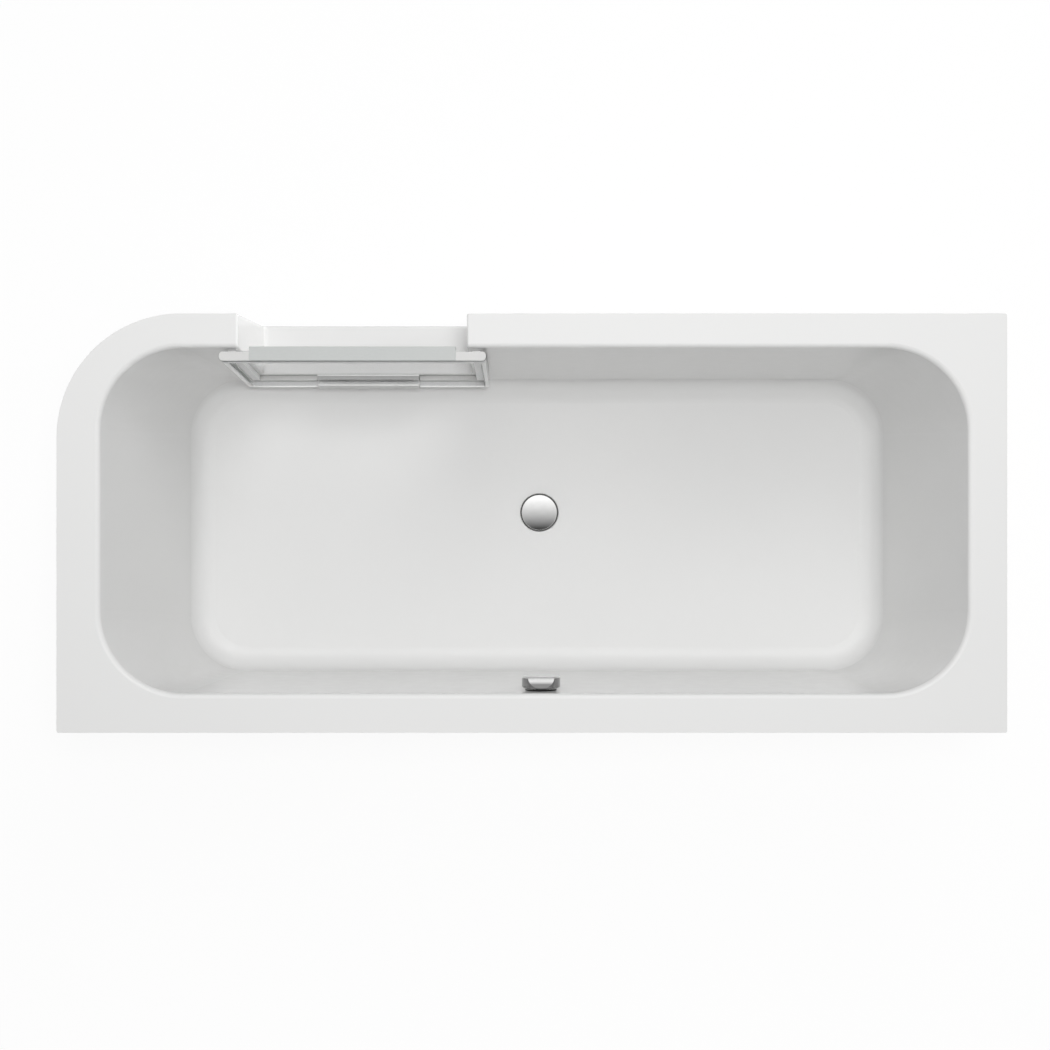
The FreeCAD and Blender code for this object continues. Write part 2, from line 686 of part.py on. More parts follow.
def rail_screws():
    screws = []
    top = BOARD_UNDERSIDE + RAIL_SCREW_BITE
    seat = BOARD_UNDERSIDE - RAIL_WALL
    for rail_x, _ in RAILS.values():
        for share in RAIL_SCREW_SHARES:
            middle = Vector(rail_x, share * RAIL_BACK, 0)
            shank = rod(RAIL_SCREW_RADIUS, middle + Z_AXIS * seat, middle + Z_AXIS * top)
            head_end = seat - RAIL_SCREW_HEAD
            head = rod(RAIL_SCREW_HEAD_RADIUS, middle + Z_AXIS * head_end, middle + Z_AXIS * seat)
            screws.append(joined([shank, head]))
    return grouped(screws)


def stud_ways():
    hole = STUD_RADIUS + STUD_HOLE_GAP
    low = Z_AXIS * NUT_UNDERSIDE
    high = Z_AXIS * FLOOR_HEIGHT
    return grouped([rod(hole, foot + low, foot + high) for foot in FEET.values()])


def floor_board():
    outline = rounded_outline(
        FLAT_LEFT + BOARD_MARGIN,
        FLAT_RIGHT - BOARD_MARGIN,
        FLAT_FRONT,
        FLAT_BACK,
        [BOARD_CORNER] * 4,
        BOARD_UNDERSIDE,
    )
    board = Part.Face(outline).extrude(Z_AXIS * BOARD_WALL)
    drain_way = at_drain(BOSS_RADIUS + BOARD_MARGIN / 2, BOARD_UNDERSIDE - OVERRUN, FLOOR_HEIGHT)
    return board.cut(drain_way).cut(stud_ways()).cut(rail_screws())


def cross_rail(rail_x, front):
    half = RAIL_WIDTH / 2
    outer = box(rail_x - half, rail_x + half, front, RAIL_BACK, RAIL_UNDERSIDE, BOARD_UNDERSIDE)
    inner = box(
        rail_x - half + RAIL_WALL,
        rail_x + half - RAIL_WALL,
        front - OVERRUN,
        RAIL_BACK + OVERRUN,
        RAIL_UNDERSIDE + RAIL_WALL,
        BOARD_UNDERSIDE - RAIL_WALL,
    )
    return outer.cut(inner).cut(stud_ways()).cut(rail_screws())


def square_tube(x0, x1, y0, y1, z0, z1, along_axis):
    outer = box(x0, x1, y0, y1, z0, z1)
    trims = {"X": (0, 1, 1), "Z": (1, 1, 0)}[along_axis]
    dx, dy, dz = (RAIL_WALL if trim else -OVERRUN for trim in trims)
    return outer.cut(box(x0 + dx, x1 - dx, y0 + dy, y1 - dy, z0 + dz, z1 - dz))


def sill_frame():
    half = POST_WIDTH / 2
    top = SILL_HEIGHT - SHELL_WALL
    seat = top - POST_WIDTH
    y0 = FRONT_RIM_MIDDLE - half
    y1 = FRONT_RIM_MIDDLE + half
    pieces = [square_tube(RAIL_MIDDLE_X - half, RAIL_RIGHT_X + half, y0, y1, seat, top, "X")]
    for rail_x in (RAIL_MIDDLE_X, RAIL_RIGHT_X):
        pieces.append(square_tube(rail_x - half, rail_x + half, y0, y1, BOARD_UNDERSIDE, seat, "Z"))
    return joined(pieces)


def rim_battens():
    top = RIM_HEIGHT - SHELL_WALL
    low = top - BATTEN_HEIGHT
    back = HALF_WIDTH - SHELL_WALL
    left = -HALF_LENGTH + SHELL_WALL
    spans = (
        (-HALF_LENGTH + BATTEN_END_GAP, OVERFLOW_X - BATTEN_OVERFLOW_GAP),
        (OVERFLOW_X + BATTEN_OVERFLOW_GAP, HALF_LENGTH - BATTEN_END_GAP),
    )
    battens = [box(x0, x1, back - BATTEN_WIDTH, back, low, top) for x0, x1 in spans]
    end = HALF_WIDTH - BATTEN_END_GAP
    battens.append(box(left, left + BATTEN_WIDTH, -end, end, low, top))
    return grouped(battens)


def foot_nuts():
    nuts = []
    for foot in FEET.values():
        block = hexagon(NUT_FLATS, NUT_HEIGHT, foot + Z_AXIS * NUT_UNDERSIDE)
        bore = rod(STUD_RADIUS + RUNNING_FIT, foot, foot + Z_AXIS * FLOOR_HEIGHT)
        nuts.append(block.cut(bore))
    return grouped(nuts)


def foot_stud(foot):
    bottom = PAD_HEIGHT - STUD_SEAT
    top = RAIL_UNDERSIDE + STUD_TOP_ROOM
    shank = rod(STUD_RADIUS, foot + Z_AXIS * bottom, foot + Z_AXIS * top)
    return joined([shank, hexagon(STUD_HEX_FLATS, STUD_HEX_HEIGHT, foot + Z_AXIS * PAD_HEIGHT)])


def foot_pad(foot):
    pad = rod(PAD_RADIUS, foot, foot + Z_AXIS * PAD_HEIGHT)
    pad = pad.makeFillet(PAD_EDGE, edges_where(pad, lambda edge: lies_at(edge, "Z", PAD_HEIGHT)))
    seat = rod(STUD_RADIUS, foot + Z_AXIS * (PAD_HEIGHT - STUD_SEAT), foot + Z_AXIS * (PAD_HEIGHT + OVERRUN))
    return pad.cut(seat)


def door_sheet(half, bottom, top, y0, y1, corner):
    """An upright sheet with its two lower corners rounded."""
    sheet = box(-half, half, y0, y1, bottom, top)

    def is_lower_corner(edge):
        return lies_at(edge, "Z", bottom) and (lies_at(edge, "X", -half) or lies_at(edge, "X", half))

    return sheet.makeFillet(corner, edges_where(sheet, is_lower_corner))


def side_zone(sign, inner):
    reach = GLASS_HALF + RIM_FRONT
    x0, x1 = sorted((sign * inner, sign * reach))
    return box(x0, x1, -reach, reach, GLASS_BOTTOM - RIM_FRONT, RIM_FRONT)


def door_glass():
    top = -TOP_RAIL_DROP - TOP_RAIL_WALL
    return door_sheet(GLASS_HALF, GLASS_BOTTOM, top, GLASS_OUTER, GLASS_INNER, GLASS_CORNER)


def door_band(outer_inset, width, y0, y1, top):
    """A band along the sides and foot of the glass, outer_inset in from its edge."""
    half = GLASS_HALF - outer_inset
    bottom = GLASS_BOTTOM + outer_inset
    outer_corner = max(GLASS_CORNER - outer_inset, CLEARANCE)
    inner_corner = max(GLASS_CORNER - outer_inset - width, CLEARANCE)
    outer = door_sheet(half, bottom, top, y0, y1, outer_corner)
    inner = door_sheet(half - width, bottom + width, top + OVERRUN, y0 - OVERRUN, y1 + OVERRUN, inner_corner)
    return outer.cut(inner)


def door_trims():
    top = -TOP_RAIL_DROP - TOP_RAIL_HEIGHT
    outer = GLASS_OUTER - TRIM_WALL
    band = door_band(-TRIM_WALL, TRIM_WALL + TRIM_WIDTH, outer, GLASS_INNER + TRIM_WALL, top)
    band = band.cut(door_glass())
    inner = SHOE_HALF + EAR_GAP
    return [band.common(side_zone(sign, inner)) for sign in (-1, 1)]


def door_seals():
    top = -TOP_RAIL_DROP - TOP_RAIL_HEIGHT
    band = door_band(SEAL_INSET, SEAL_WIDTH, CLEARANCE, GLASS_OUTER, top)
    inner = SHOE_HALF + EAR_GAP
    return [band.common(side_zone(sign, inner)) for sign in (-1, 1)]


RAIL_HALF = GLASS_HALF + TOP_RAIL_OVERHANG
RAIL_OUTER_FACE = GLASS_OUTER - TOP_RAIL_WALL
RAIL_INNER_FACE = GLASS_INNER + TOP_RAIL_WALL


def door_top_rail():
    bottom = -TOP_RAIL_DROP - TOP_RAIL_HEIGHT
    rail = box(-RAIL_HALF, RAIL_HALF, RAIL_OUTER_FACE, RAIL_INNER_FACE, bottom, -TOP_RAIL_DROP)

    def is_end_edge(edge):
        upright = edge.BoundBox.ZLength > TOP_RAIL_HEIGHT / 2
        return upright and (lies_at(edge, "X", -RAIL_HALF) or lies_at(edge, "X", RAIL_HALF))

    end_radius = (RAIL_INNER_FACE - RAIL_OUTER_FACE) / 2 - CLEARANCE
    return rail.makeFillet(end_radius, edges_where(rail, is_end_edge)).cut(door_glass())


def door_grip_strip():
    half = ENTRY_WIDTH / 2 - GRIP_END_GAP
    outer = RAIL_OUTER_FACE - GRIP_DEPTH
    top = -TOP_RAIL_DROP
    strip = box(-half, half, outer, RAIL_OUTER_FACE, top - GRIP_HEIGHT, top)
    hollow = box(-half, half, outer + TOP_RAIL_WALL, RAIL_OUTER_FACE, top - GRIP_HEIGHT, top - TOP_RAIL_WALL)
    return strip.cut(hollow)


def door_shoe():
    """A channel for the foot of the glass, on a barrel that turns about the pin."""
    back = CLEARANCE + SHOE_GASKET
    top = SILL_LEVEL
    channel = box(-SHOE_HALF, SHOE_HALF, back, SHOE_INNER, SHOE_UNDERSIDE, top)
    slot = box(
        -SHOE_HALF - OVERRUN,
        SHOE_HALF + OVERRUN,
        GLASS_OUTER - CLEARANCE,
        GLASS_INNER + CLEARANCE,
        GLASS_BOTTOM - CLEARANCE,
        top + OVERRUN,
    )
    half = EAR_INNER - EAR_GAP
    pin = Vector(0, PIN_DEPTH, PIN_LEVEL)
    barrel = rod(KNUCKLE_RADIUS, pin - X_AXIS * half, pin + X_AXIS * half)
    web = box(
        -half, half, PIN_DEPTH - PIN_RADIUS, PIN_DEPTH + PIN_RADIUS, PIN_LEVEL, SHOE_UNDERSIDE + OVERRUN
    )
    shoe = joined([channel.cut(slot), barrel, web.cut(slot)])
    return shoe.cut(rod(PIN_RADIUS + RUNNING_FIT, pin - X_AXIS * SHOE_HALF, pin + X_AXIS * SHOE_HALF))


def shoe_gasket():
    return box(-SHOE_HALF, SHOE_HALF, CLEARANCE, CLEARANCE + SHOE_GASKET, SHOE_UNDERSIDE, SILL_LEVEL)


def pivot_pin():
    pin = Vector(0, PIN_DEPTH, PIN_LEVEL)
    return rod(PIN_RADIUS, pin - X_AXIS * EAR_OUTER, pin + X_AXIS * EAR_OUTER)


def door_bracket():
    plate = box(-EAR_OUTER, EAR_OUTER, 0, BRACKET_WALL, BRACKET_BOTTOM, BRACKET_TOP)
    pieces = [plate]
    for x0, x1 in ((-EAR_OUTER, -EAR_INNER), (EAR_INNER, EAR_OUTER)):
        start = Vector(x0, PIN_DEPTH, PIN_LEVEL)
        pieces.append(rod(KNUCKLE_RADIUS, start, start + X_AXIS * (x1 - x0)))
        pieces.append(box(x0, x1, 0, PIN_DEPTH, PIN_LEVEL - KNUCKLE_RADIUS, PIN_LEVEL + KNUCKLE_RADIUS))
    return joined(pieces).cut(pivot_pin())


def bracket_backplate():
    half = EAR_OUTER
    outer = -SHELL_WALL * math.cos(math.radians(FRONT_DRAFT))
    return box(-half, half, outer - BACKPLATE_WALL, outer, BRACKET_BOTTOM, BRACKET_TOP)


def spider(radius, hub_bore, low, high, place):
    """A hub held by three arms inside a sleeve; place puts it on the sleeve's axis."""
    hub = place(SPIDER_HUB, low, high)
    arms = []
    half = SPIDER_ARM / 2
    for turn in SPIDER_TURNS:
        arm = box(0, radius, -half, half, 0, high - low)
        arm.Placement = FreeCAD.Placement(Vector(), FreeCAD.Rotation(Z_AXIS, turn))
        arms.append(arm)
    return hub, arms, place(hub_bore, low - OVERRUN, high + OVERRUN)


FLANGE_SEAT = RECESS_FLOOR + GASKET_UPPER
FLANGE_TOP = FLANGE_SEAT + FLANGE_WALL
SLEEVE_BOTTOM = FLANGE_SEAT - SLEEVE_LENGTH
SLEEVE_BORE = SLEEVE_RADIUS - SLEEVE_WALL
CHAMBER_TOP = BODY_TOP - BODY_HEAD
CHAMBER_BOTTOM = BODY_BOTTOM + BODY_FOOT
CHAMBER_MIDDLE = (CHAMBER_TOP + CHAMBER_BOTTOM) / 2
CHAMBER_RADIUS = BODY_RADIUS - BODY_WALL
LEVER_PIVOT = DRAIN + Vector(LEVER_ARM, 0, CHAMBER_BOTTOM + LEVER_RISE)
STEM_BOTTOM = LEVER_PIVOT.z + LEVER_TIP + CLEARANCE
PLUG_SEAL_BOTTOM = FLANGE_TOP
CAP_BOTTOM = PLUG_SEAL_BOTTOM + PLUG_SEAL_HEIGHT
SOCKET_RADIUS = PIPE_RADIUS + SOCKET_WALL
PIPE_DROP_Y = OVERFLOW_WALL_Y + SHELL_WALL + OVERFLOW_GASKET + OVERFLOW_BODY_DEPTH / 2
CABLE_HEIGHT = LEVER_PIVOT.z + LEVER_PULL_ARM


def drain_flange():
    disc = drain_tube(RECESS_RADIUS - FLANGE_GAP, SLEEVE_BORE, FLANGE_SEAT, FLANGE_TOP)
    sleeve = drain_tube(SLEEVE_RADIUS, SLEEVE_BORE, SLEEVE_BOTTOM, FLANGE_SEAT)
    low = SLEEVE_BOTTOM
    high = SLEEVE_BOTTOM + SPIDER_HEIGHT
    hub, arms, bore = spider(SLEEVE_BORE + SLEEVE_WALL / 2, STEM_RADIUS + RUNNING_FIT, low, high, at_drain)
    for arm in arms:
        arm.translate(DRAIN + Z_AXIS * low)
    return joined([disc, sleeve, hub] + arms).cut(bore)


def plug_pieces():
    """The domed cap with its stem, and the seal ring under it."""
    rise = CAP_DOME
    sphere_radius = (CAP_RADIUS ** 2 + rise ** 2) / (2 * rise)
    edge_top = CAP_BOTTOM + CAP_EDGE
    centre = DRAIN + Z_AXIS * (edge_top + rise - sphere_radius)
    dome_zone = at_drain(CAP_RADIUS, edge_top, edge_top + rise + OVERRUN)
    dome = Part.makeSphere(sphere_radius, centre).common(dome_zone)
    disc = at_drain(CAP_RADIUS, CAP_BOTTOM, edge_top)
    stem = at_drain(STEM_RADIUS, STEM_BOTTOM, CAP_BOTTOM)
    cap = joined([disc, dome, stem])
    seal = drain_tube(PLUG_SEAL_RADIUS, PLUG_SEAL_RADIUS - PLUG_SEAL_WIDTH, PLUG_SEAL_BOTTOM, CAP_BOTTOM)
    return cap, seal


def drain_body():
    head = at_drain(BODY_FLANGE_RADIUS, CHAMBER_TOP, BODY_TOP)
    barrel = at_drain(BODY_RADIUS, BODY_BOTTOM, CHAMBER_TOP)
    foot = at_drain(TRAP_RADIUS + TRAP_COLLAR, BODY_BOTTOM, CHAMBER_BOTTOM)
    dip_end = TRAP_GROUND_GAP + TRAP_WALL + DIP_GAP
    dip = at_drain(DIP_RADIUS, dip_end, BODY_BOTTOM)
    inlet = DRAIN + Z_AXIS * CHAMBER_MIDDLE
    socket_end = inlet + Y_AXIS * (BODY_RADIUS + SOCKET_LENGTH)
    socket = rod(SOCKET_RADIUS, inlet, socket_end)
    gland = DRAIN + Z_AXIS * CABLE_HEIGHT
    gland_end = gland + X_AXIS * (BODY_RADIUS + GLAND_LENGTH)
    boss = rod(GLAND_RADIUS, gland, gland_end)
    solid = joined([head, barrel, foot, dip, socket, boss])
    for space in (
        at_drain(SLEEVE_RADIUS + RUNNING_FIT, CHAMBER_TOP - OVERRUN, BODY_TOP + OVERRUN),
        at_drain(CHAMBER_RADIUS, CHAMBER_BOTTOM, CHAMBER_TOP),
        at_drain(DIP_RADIUS - DIP_WALL, dip_end - OVERRUN, CHAMBER_BOTTOM + OVERRUN),
        rod(PIPE_RADIUS - PIPE_WALL, inlet, socket_end),
        rod(PIPE_RADIUS + RUNNING_FIT, socket_end - Y_AXIS * PIPE_SEAT, socket_end + Y_AXIS * OVERRUN),
        rod(CABLE_RADIUS - RUNNING_FIT - CLEARANCE, gland, gland_end),
        rod(CABLE_RADIUS + RUNNING_FIT, gland_end - X_AXIS * CABLE_SEAT, gland_end + X_AXIS * OVERRUN),
    ):
        solid = solid.cut(space)
    lugs = []
    inner = LEVER_WIDTH / 2 + LUG_GAP
    for y0 in (inner, -inner - LUG_WALL):
        lug = box(
            LEVER_PIVOT.x - LEVER_EYE,
            DRAIN_X + BODY_RADIUS - BODY_WALL / 2,
            DRAIN_Y + y0,
            DRAIN_Y + y0 + LUG_WALL,
            CHAMBER_BOTTOM,
            LEVER_PIVOT.z + LEVER_EYE,
        )
        lugs.append(lug)
    return joined([solid] + lugs).cut(lever_pin())


def lever_pin():
    half = LEVER_WIDTH / 2 + LUG_GAP + LUG_WALL
    return rod(LEVER_PIN_RADIUS, LEVER_PIVOT - Y_AXIS * half, LEVER_PIVOT + Y_AXIS * half)


def lift_lever():
    """A bell crank: one arm under the stem, one pulled by the cable."""
    half = LEVER_WIDTH / 2
    tip = LEVER_PIVOT - X_AXIS * LEVER_ARM
    pull = LEVER_PIVOT + Z_AXIS * LEVER_PULL_ARM
    rods = []
    for radius, middle in ((LEVER_EYE, LEVER_PIVOT), (LEVER_TIP, tip), (LEVER_TIP, pull)):
        rods.append(rod(radius, middle - Y_AXIS * half, middle + Y_AXIS * half))
    arm = box(
        tip.x, LEVER_PIVOT.x, tip.y - half, tip.y + half, tip.z - LEVER_TIP, tip.z + LEVER_TIP - CLEARANCE * 2
    )
    pull_arm = box(
        pull.x - LEVER_TIP / 2, pull.x + LEVER_TIP / 2, pull.y - half, pull.y + half, LEVER_PIVOT.z, pull.z
    )
    reach = Y_AXIS * BODY_RADIUS
    bore = rod(LEVER_PIN_RADIUS + RUNNING_FIT, LEVER_PIVOT - reach, LEVER_PIVOT + reach)
    return joined(rods + [arm, pull_arm]).cut(bore)


def trap_cup():
    inside_floor = TRAP_GROUND_GAP + TRAP_WALL
    cup = at_drain(TRAP_RADIUS, TRAP_GROUND_GAP, BODY_BOTTOM)
    collar = at_drain(TRAP_RADIUS + TRAP_COLLAR, BODY_BOTTOM - TRAP_COLLAR_HEIGHT, BODY_BOTTOM)
    axis = DRAIN + Z_AXIS * OUTLET_HEIGHT
    shoulder = axis - X_AXIS * (TRAP_RADIUS + OUTLET_COLLAR_LENGTH)
    end = shoulder - X_AXIS * OUTLET_LENGTH
    solid = joined([cup, collar, rod(OUTLET_RADIUS, axis, end)])
    neck_start = axis - X_AXIS * (TRAP_RADIUS + TRAP_NUT_WALL + TRAP_COLLAR + OVERRUN)
    solid = solid.fuse(rod(OUTLET_COLLAR_RADIUS, neck_start, shoulder))
    solid = solid.cut(at_drain(TRAP_RADIUS - TRAP_WALL, inside_floor, BODY_BOTTOM + OVERRUN))
    solid = solid.cut(rod(OUTLET_RADIUS - OUTLET_WALL, axis - X_AXIS * WEIR_RADIUS, end - X_AXIS * OVERRUN))
    weir = drain_tube(WEIR_RADIUS, WEIR_RADIUS - TRAP_WALL, TRAP_GROUND_GAP, BODY_BOTTOM - WEIR_DROP)
    return joined([solid, weir])


def trap_nut():
    collar = TRAP_RADIUS + TRAP_COLLAR
    low = BODY_BOTTOM - TRAP_COLLAR_HEIGHT
    shell = at_drain(collar + TRAP_NUT_WALL, low - TRAP_NUT_LIP, CHAMBER_BOTTOM)
    thread = at_drain(collar + RUNNING_FIT, low, CHAMBER_BOTTOM + OVERRUN)
    lip = at_drain(TRAP_RADIUS + RUNNING_FIT, low - TRAP_NUT_LIP - OVERRUN, low + OVERRUN)
    return shell.cut(thread).cut(lip)


OVERFLOW_FRONT = SHELL_WALL + OVERFLOW_GASKET
OVERFLOW_BACK = OVERFLOW_FRONT + OVERFLOW_BODY_DEPTH
SPIGOT_END = OVERFLOW_HEIGHT - SPIGOT_LENGTH
KNOB_BACK = -KNOB_GAP
KNOB_FRONT = KNOB_BACK - KNOB_DEPTH


def overflow_ring():
    sleeve_end = OVERFLOW_FRONT + OVERFLOW_BODY_WALL
    bore = OVERFLOW_SLEEVE_RADIUS - OVERFLOW_SLEEVE_WALL
    plate = at_overflow(OVERFLOW_RING_RADIUS, -OVERFLOW_RING_WALL, SHELL_WALL / 2).common(POCKET)
    sleeve = at_overflow(OVERFLOW_SLEEVE_RADIUS, -OVERFLOW_RING_WALL, sleeve_end)
    low = sleeve_end - SPIDER_HEIGHT
    ring = joined([plate, sleeve]).cut(at_overflow(bore, -SHELL_WALL, sleeve_end + OVERRUN))
    reach = bore + OVERFLOW_SLEEVE_WALL / 2
    hub, arms, hole = spider(reach, SPINDLE_RADIUS + RUNNING_FIT, low, sleeve_end, at_overflow)
    turn = FreeCAD.Placement(OVERFLOW + Y_AXIS * low, FreeCAD.Rotation(X_AXIS, -QUARTER_TURN))
    for arm in arms:
        arm.Placement = turn.multiply(arm.Placement)
    return joined([ring, hub] + arms).cut(hole)


def overflow_gasket():
    disc = at_overflow(OVERFLOW_GASKET_RADIUS, SHELL_WALL / 2, OVERFLOW_FRONT)
    return disc.cut(at_overflow(OVERFLOW_HOLE, 0, OVERFLOW_BACK)).cut(BASIN_OUTSIDE)


def overflow_body():
    body = at_overflow(OVERFLOW_BODY_RADIUS, OVERFLOW_FRONT, OVERFLOW_BACK)
    top = Vector(OVERFLOW_X, PIPE_DROP_Y, OVERFLOW_HEIGHT)
    end = Vector(OVERFLOW_X, PIPE_DROP_Y, SPIGOT_END)
    spigot = rod(SOCKET_RADIUS, top, end)
    gland_end = top + X_AXIS * (OVERFLOW_BODY_RADIUS + GLAND_LENGTH)
    boss = rod(GLAND_RADIUS, top, gland_end)
    solid = joined([body, spigot, boss])
    chamber_front = OVERFLOW_FRONT + OVERFLOW_BODY_WALL
    chamber_back = OVERFLOW_BACK - OVERFLOW_BODY_WALL
    for space in (
        at_overflow(OVERFLOW_BODY_RADIUS - OVERFLOW_BODY_WALL, chamber_front, chamber_back),
        at_overflow(OVERFLOW_SLEEVE_RADIUS + RUNNING_FIT, 0, chamber_front + OVERRUN),
        at_overflow(SPINDLE_RADIUS + RUNNING_FIT, chamber_front, OVERFLOW_BACK + OVERRUN),
        rod(PIPE_RADIUS - PIPE_WALL, top, end),
        rod(PIPE_RADIUS + RUNNING_FIT, end + Z_AXIS * PIPE_SEAT, end - Z_AXIS * OVERRUN),
        rod(CABLE_RADIUS - RUNNING_FIT - CLEARANCE, top, gland_end),
        rod(CABLE_RADIUS + RUNNING_FIT, gland_end - X_AXIS * CABLE_SEAT, gland_end + X_AXIS * OVERRUN),
    ):
        solid = solid.cut(space)
    return solid.removeSplitter()


def overflow_knob():
    """A round grip, hollowed at top and bottom for the fingers, on a short neck."""
    knob = at_overflow(KNOB_RADIUS, KNOB_FRONT, KNOB_BACK)
    knob = knob.makeFillet(KNOB_EDGE, knob.Edges)
    scoop_y = OVERFLOW_WALL_Y + KNOB_FRONT - KNOB_SCOOP_LEAD
    reach = KNOB_RADIUS - KNOB_SCOOP_DEPTH + KNOB_SCOOP_RADIUS
    for side in (1, -1):
        middle = Vector(OVERFLOW_X, scoop_y, OVERFLOW_HEIGHT + side * reach)
        knob = knob.cut(rod(KNOB_SCOOP_RADIUS, middle - X_AXIS * KNOB_RADIUS, middle + X_AXIS * KNOB_RADIUS))
    neck_end = -OVERFLOW_RING_WALL + OVERFLOW_SLEEVE_WALL
    knob = knob.fuse(at_overflow(KNOB_NECK_RADIUS, KNOB_BACK - KNOB_EDGE, neck_end))
    return knob.cut(at_overflow(SPINDLE_RADIUS, neck_end - SPINDLE_SEAT, neck_end + OVERRUN)).removeSplitter()


def knob_spindle():
    neck_end = -OVERFLOW_RING_WALL + OVERFLOW_SLEEVE_WALL
    shaft = at_overflow(SPINDLE_RADIUS, neck_end - SPINDLE_SEAT, OVERFLOW_BACK)
    cam_front = (OVERFLOW_FRONT + OVERFLOW_BACK - CAM_WIDTH) / 2
    return joined([shaft, at_overflow(CAM_RADIUS, cam_front, cam_front + CAM_WIDTH)])


def bent_path(points, bend):
    """Straight runs between points, joined by tangent arcs that begin bend before each corner."""
    edges = []
    last = points[0]
    for index, corner in enumerate(points[1:-1], start=1):
        into = (corner - points[index - 1]).normalize()
        out = (points[index + 1] - corner).normalize()
        begin = corner - into * bend[index - 1]
        end = corner + out * bend[index - 1]
        rise = bend[index - 1] * math.tan(into.getAngle(out) / 4)
        edges.append(Part.LineSegment(last, begin).toShape())
        edges.append(Part.Arc(begin, corner + (out - into).normalize() * rise, end).toShape())
        last = end
    edges.append(Part.LineSegment(last, points[-1]).toShape())
    return Part.Wire(edges)


def swept_rod(path, radius, start, way):
    circle = Part.Wire(Part.makeCircle(radius, start, way))
    return path.makePipeShell([circle], True, False)


INLET_END = DRAIN + Vector(0, BODY_RADIUS + SOCKET_LENGTH, CHAMBER_MIDDLE)


def overflow_pipe():
    top = Vector(OVERFLOW_X, PIPE_DROP_Y, SPIGOT_END + PIPE_SEAT)
    low = Vector(OVERFLOW_X, PIPE_DROP_Y, CHAMBER_MIDDLE)
    end = INLET_END - Y_AXIS * PIPE_SEAT
    path = bent_path([top, low, end], [PIPE_BEND])
    down = Vector(0, 0, -1)
    outer = swept_rod(path, PIPE_RADIUS, top, down)
    return outer.cut(swept_rod(path, PIPE_RADIUS - PIPE_WALL, top, down))


def pipe_nut(mouth, way):
    """A union nut round a socket's mouth; way points out of the socket along the pipe."""
    start = mouth - way * (PIPE_NUT_LENGTH - PIPE_NUT_LIP)
    end = mouth + way * PIPE_NUT_LIP
    nut = rod(SOCKET_RADIUS + PIPE_NUT_WALL, start, end)
    nut = nut.cut(rod(SOCKET_RADIUS + RUNNING_FIT, start - way * OVERRUN, mouth))
    return nut.cut(rod(PIPE_RADIUS + RUNNING_FIT, start, end + way * OVERRUN))


def pipe_nuts():
    upper = Vector(OVERFLOW_X, PIPE_DROP_Y, SPIGOT_END)
    return grouped([pipe_nut(upper, Vector(0, 0, -1)), pipe_nut(INLET_END, Y_AXIS)])


def cable_route():
    """The cable's points, from the overflow's gland down the back and under the floor to the waste."""
    gland = OVERFLOW_X + OVERFLOW_BODY_RADIUS + GLAND_LENGTH
    start = Vector(gland - CABLE_SEAT, PIPE_DROP_Y, OVERFLOW_HEIGHT)
    end = DRAIN + Vector(BODY_RADIUS + GLAND_LENGTH - CABLE_SEAT, 0, CABLE_HEIGHT)
    points = [start]
    for aside_share, forward_share, fall_share in CABLE_ROUTE_SHARES:
        y = PIPE_DROP_Y + (DRAIN_Y - PIPE_DROP_Y) * forward_share
        z = OVERFLOW_HEIGHT + (CABLE_HEIGHT - OVERFLOW_HEIGHT) * fall_share
        points.append(Vector(OVERFLOW_X + CABLE_OFFSET * aside_share, y, z))
    return points + [end]


def pull_cable():
    points = cable_route()
    runs = [after.distanceToPoint(before) for before, after in zip(points, points[1:])]
    bends = [(min(pair) - CLEARANCE) / 2 for pair in zip(runs, runs[1:])]
    return swept_rod(bent_path(points, bends), CABLE_RADIUS, points[0], X_AXIS)


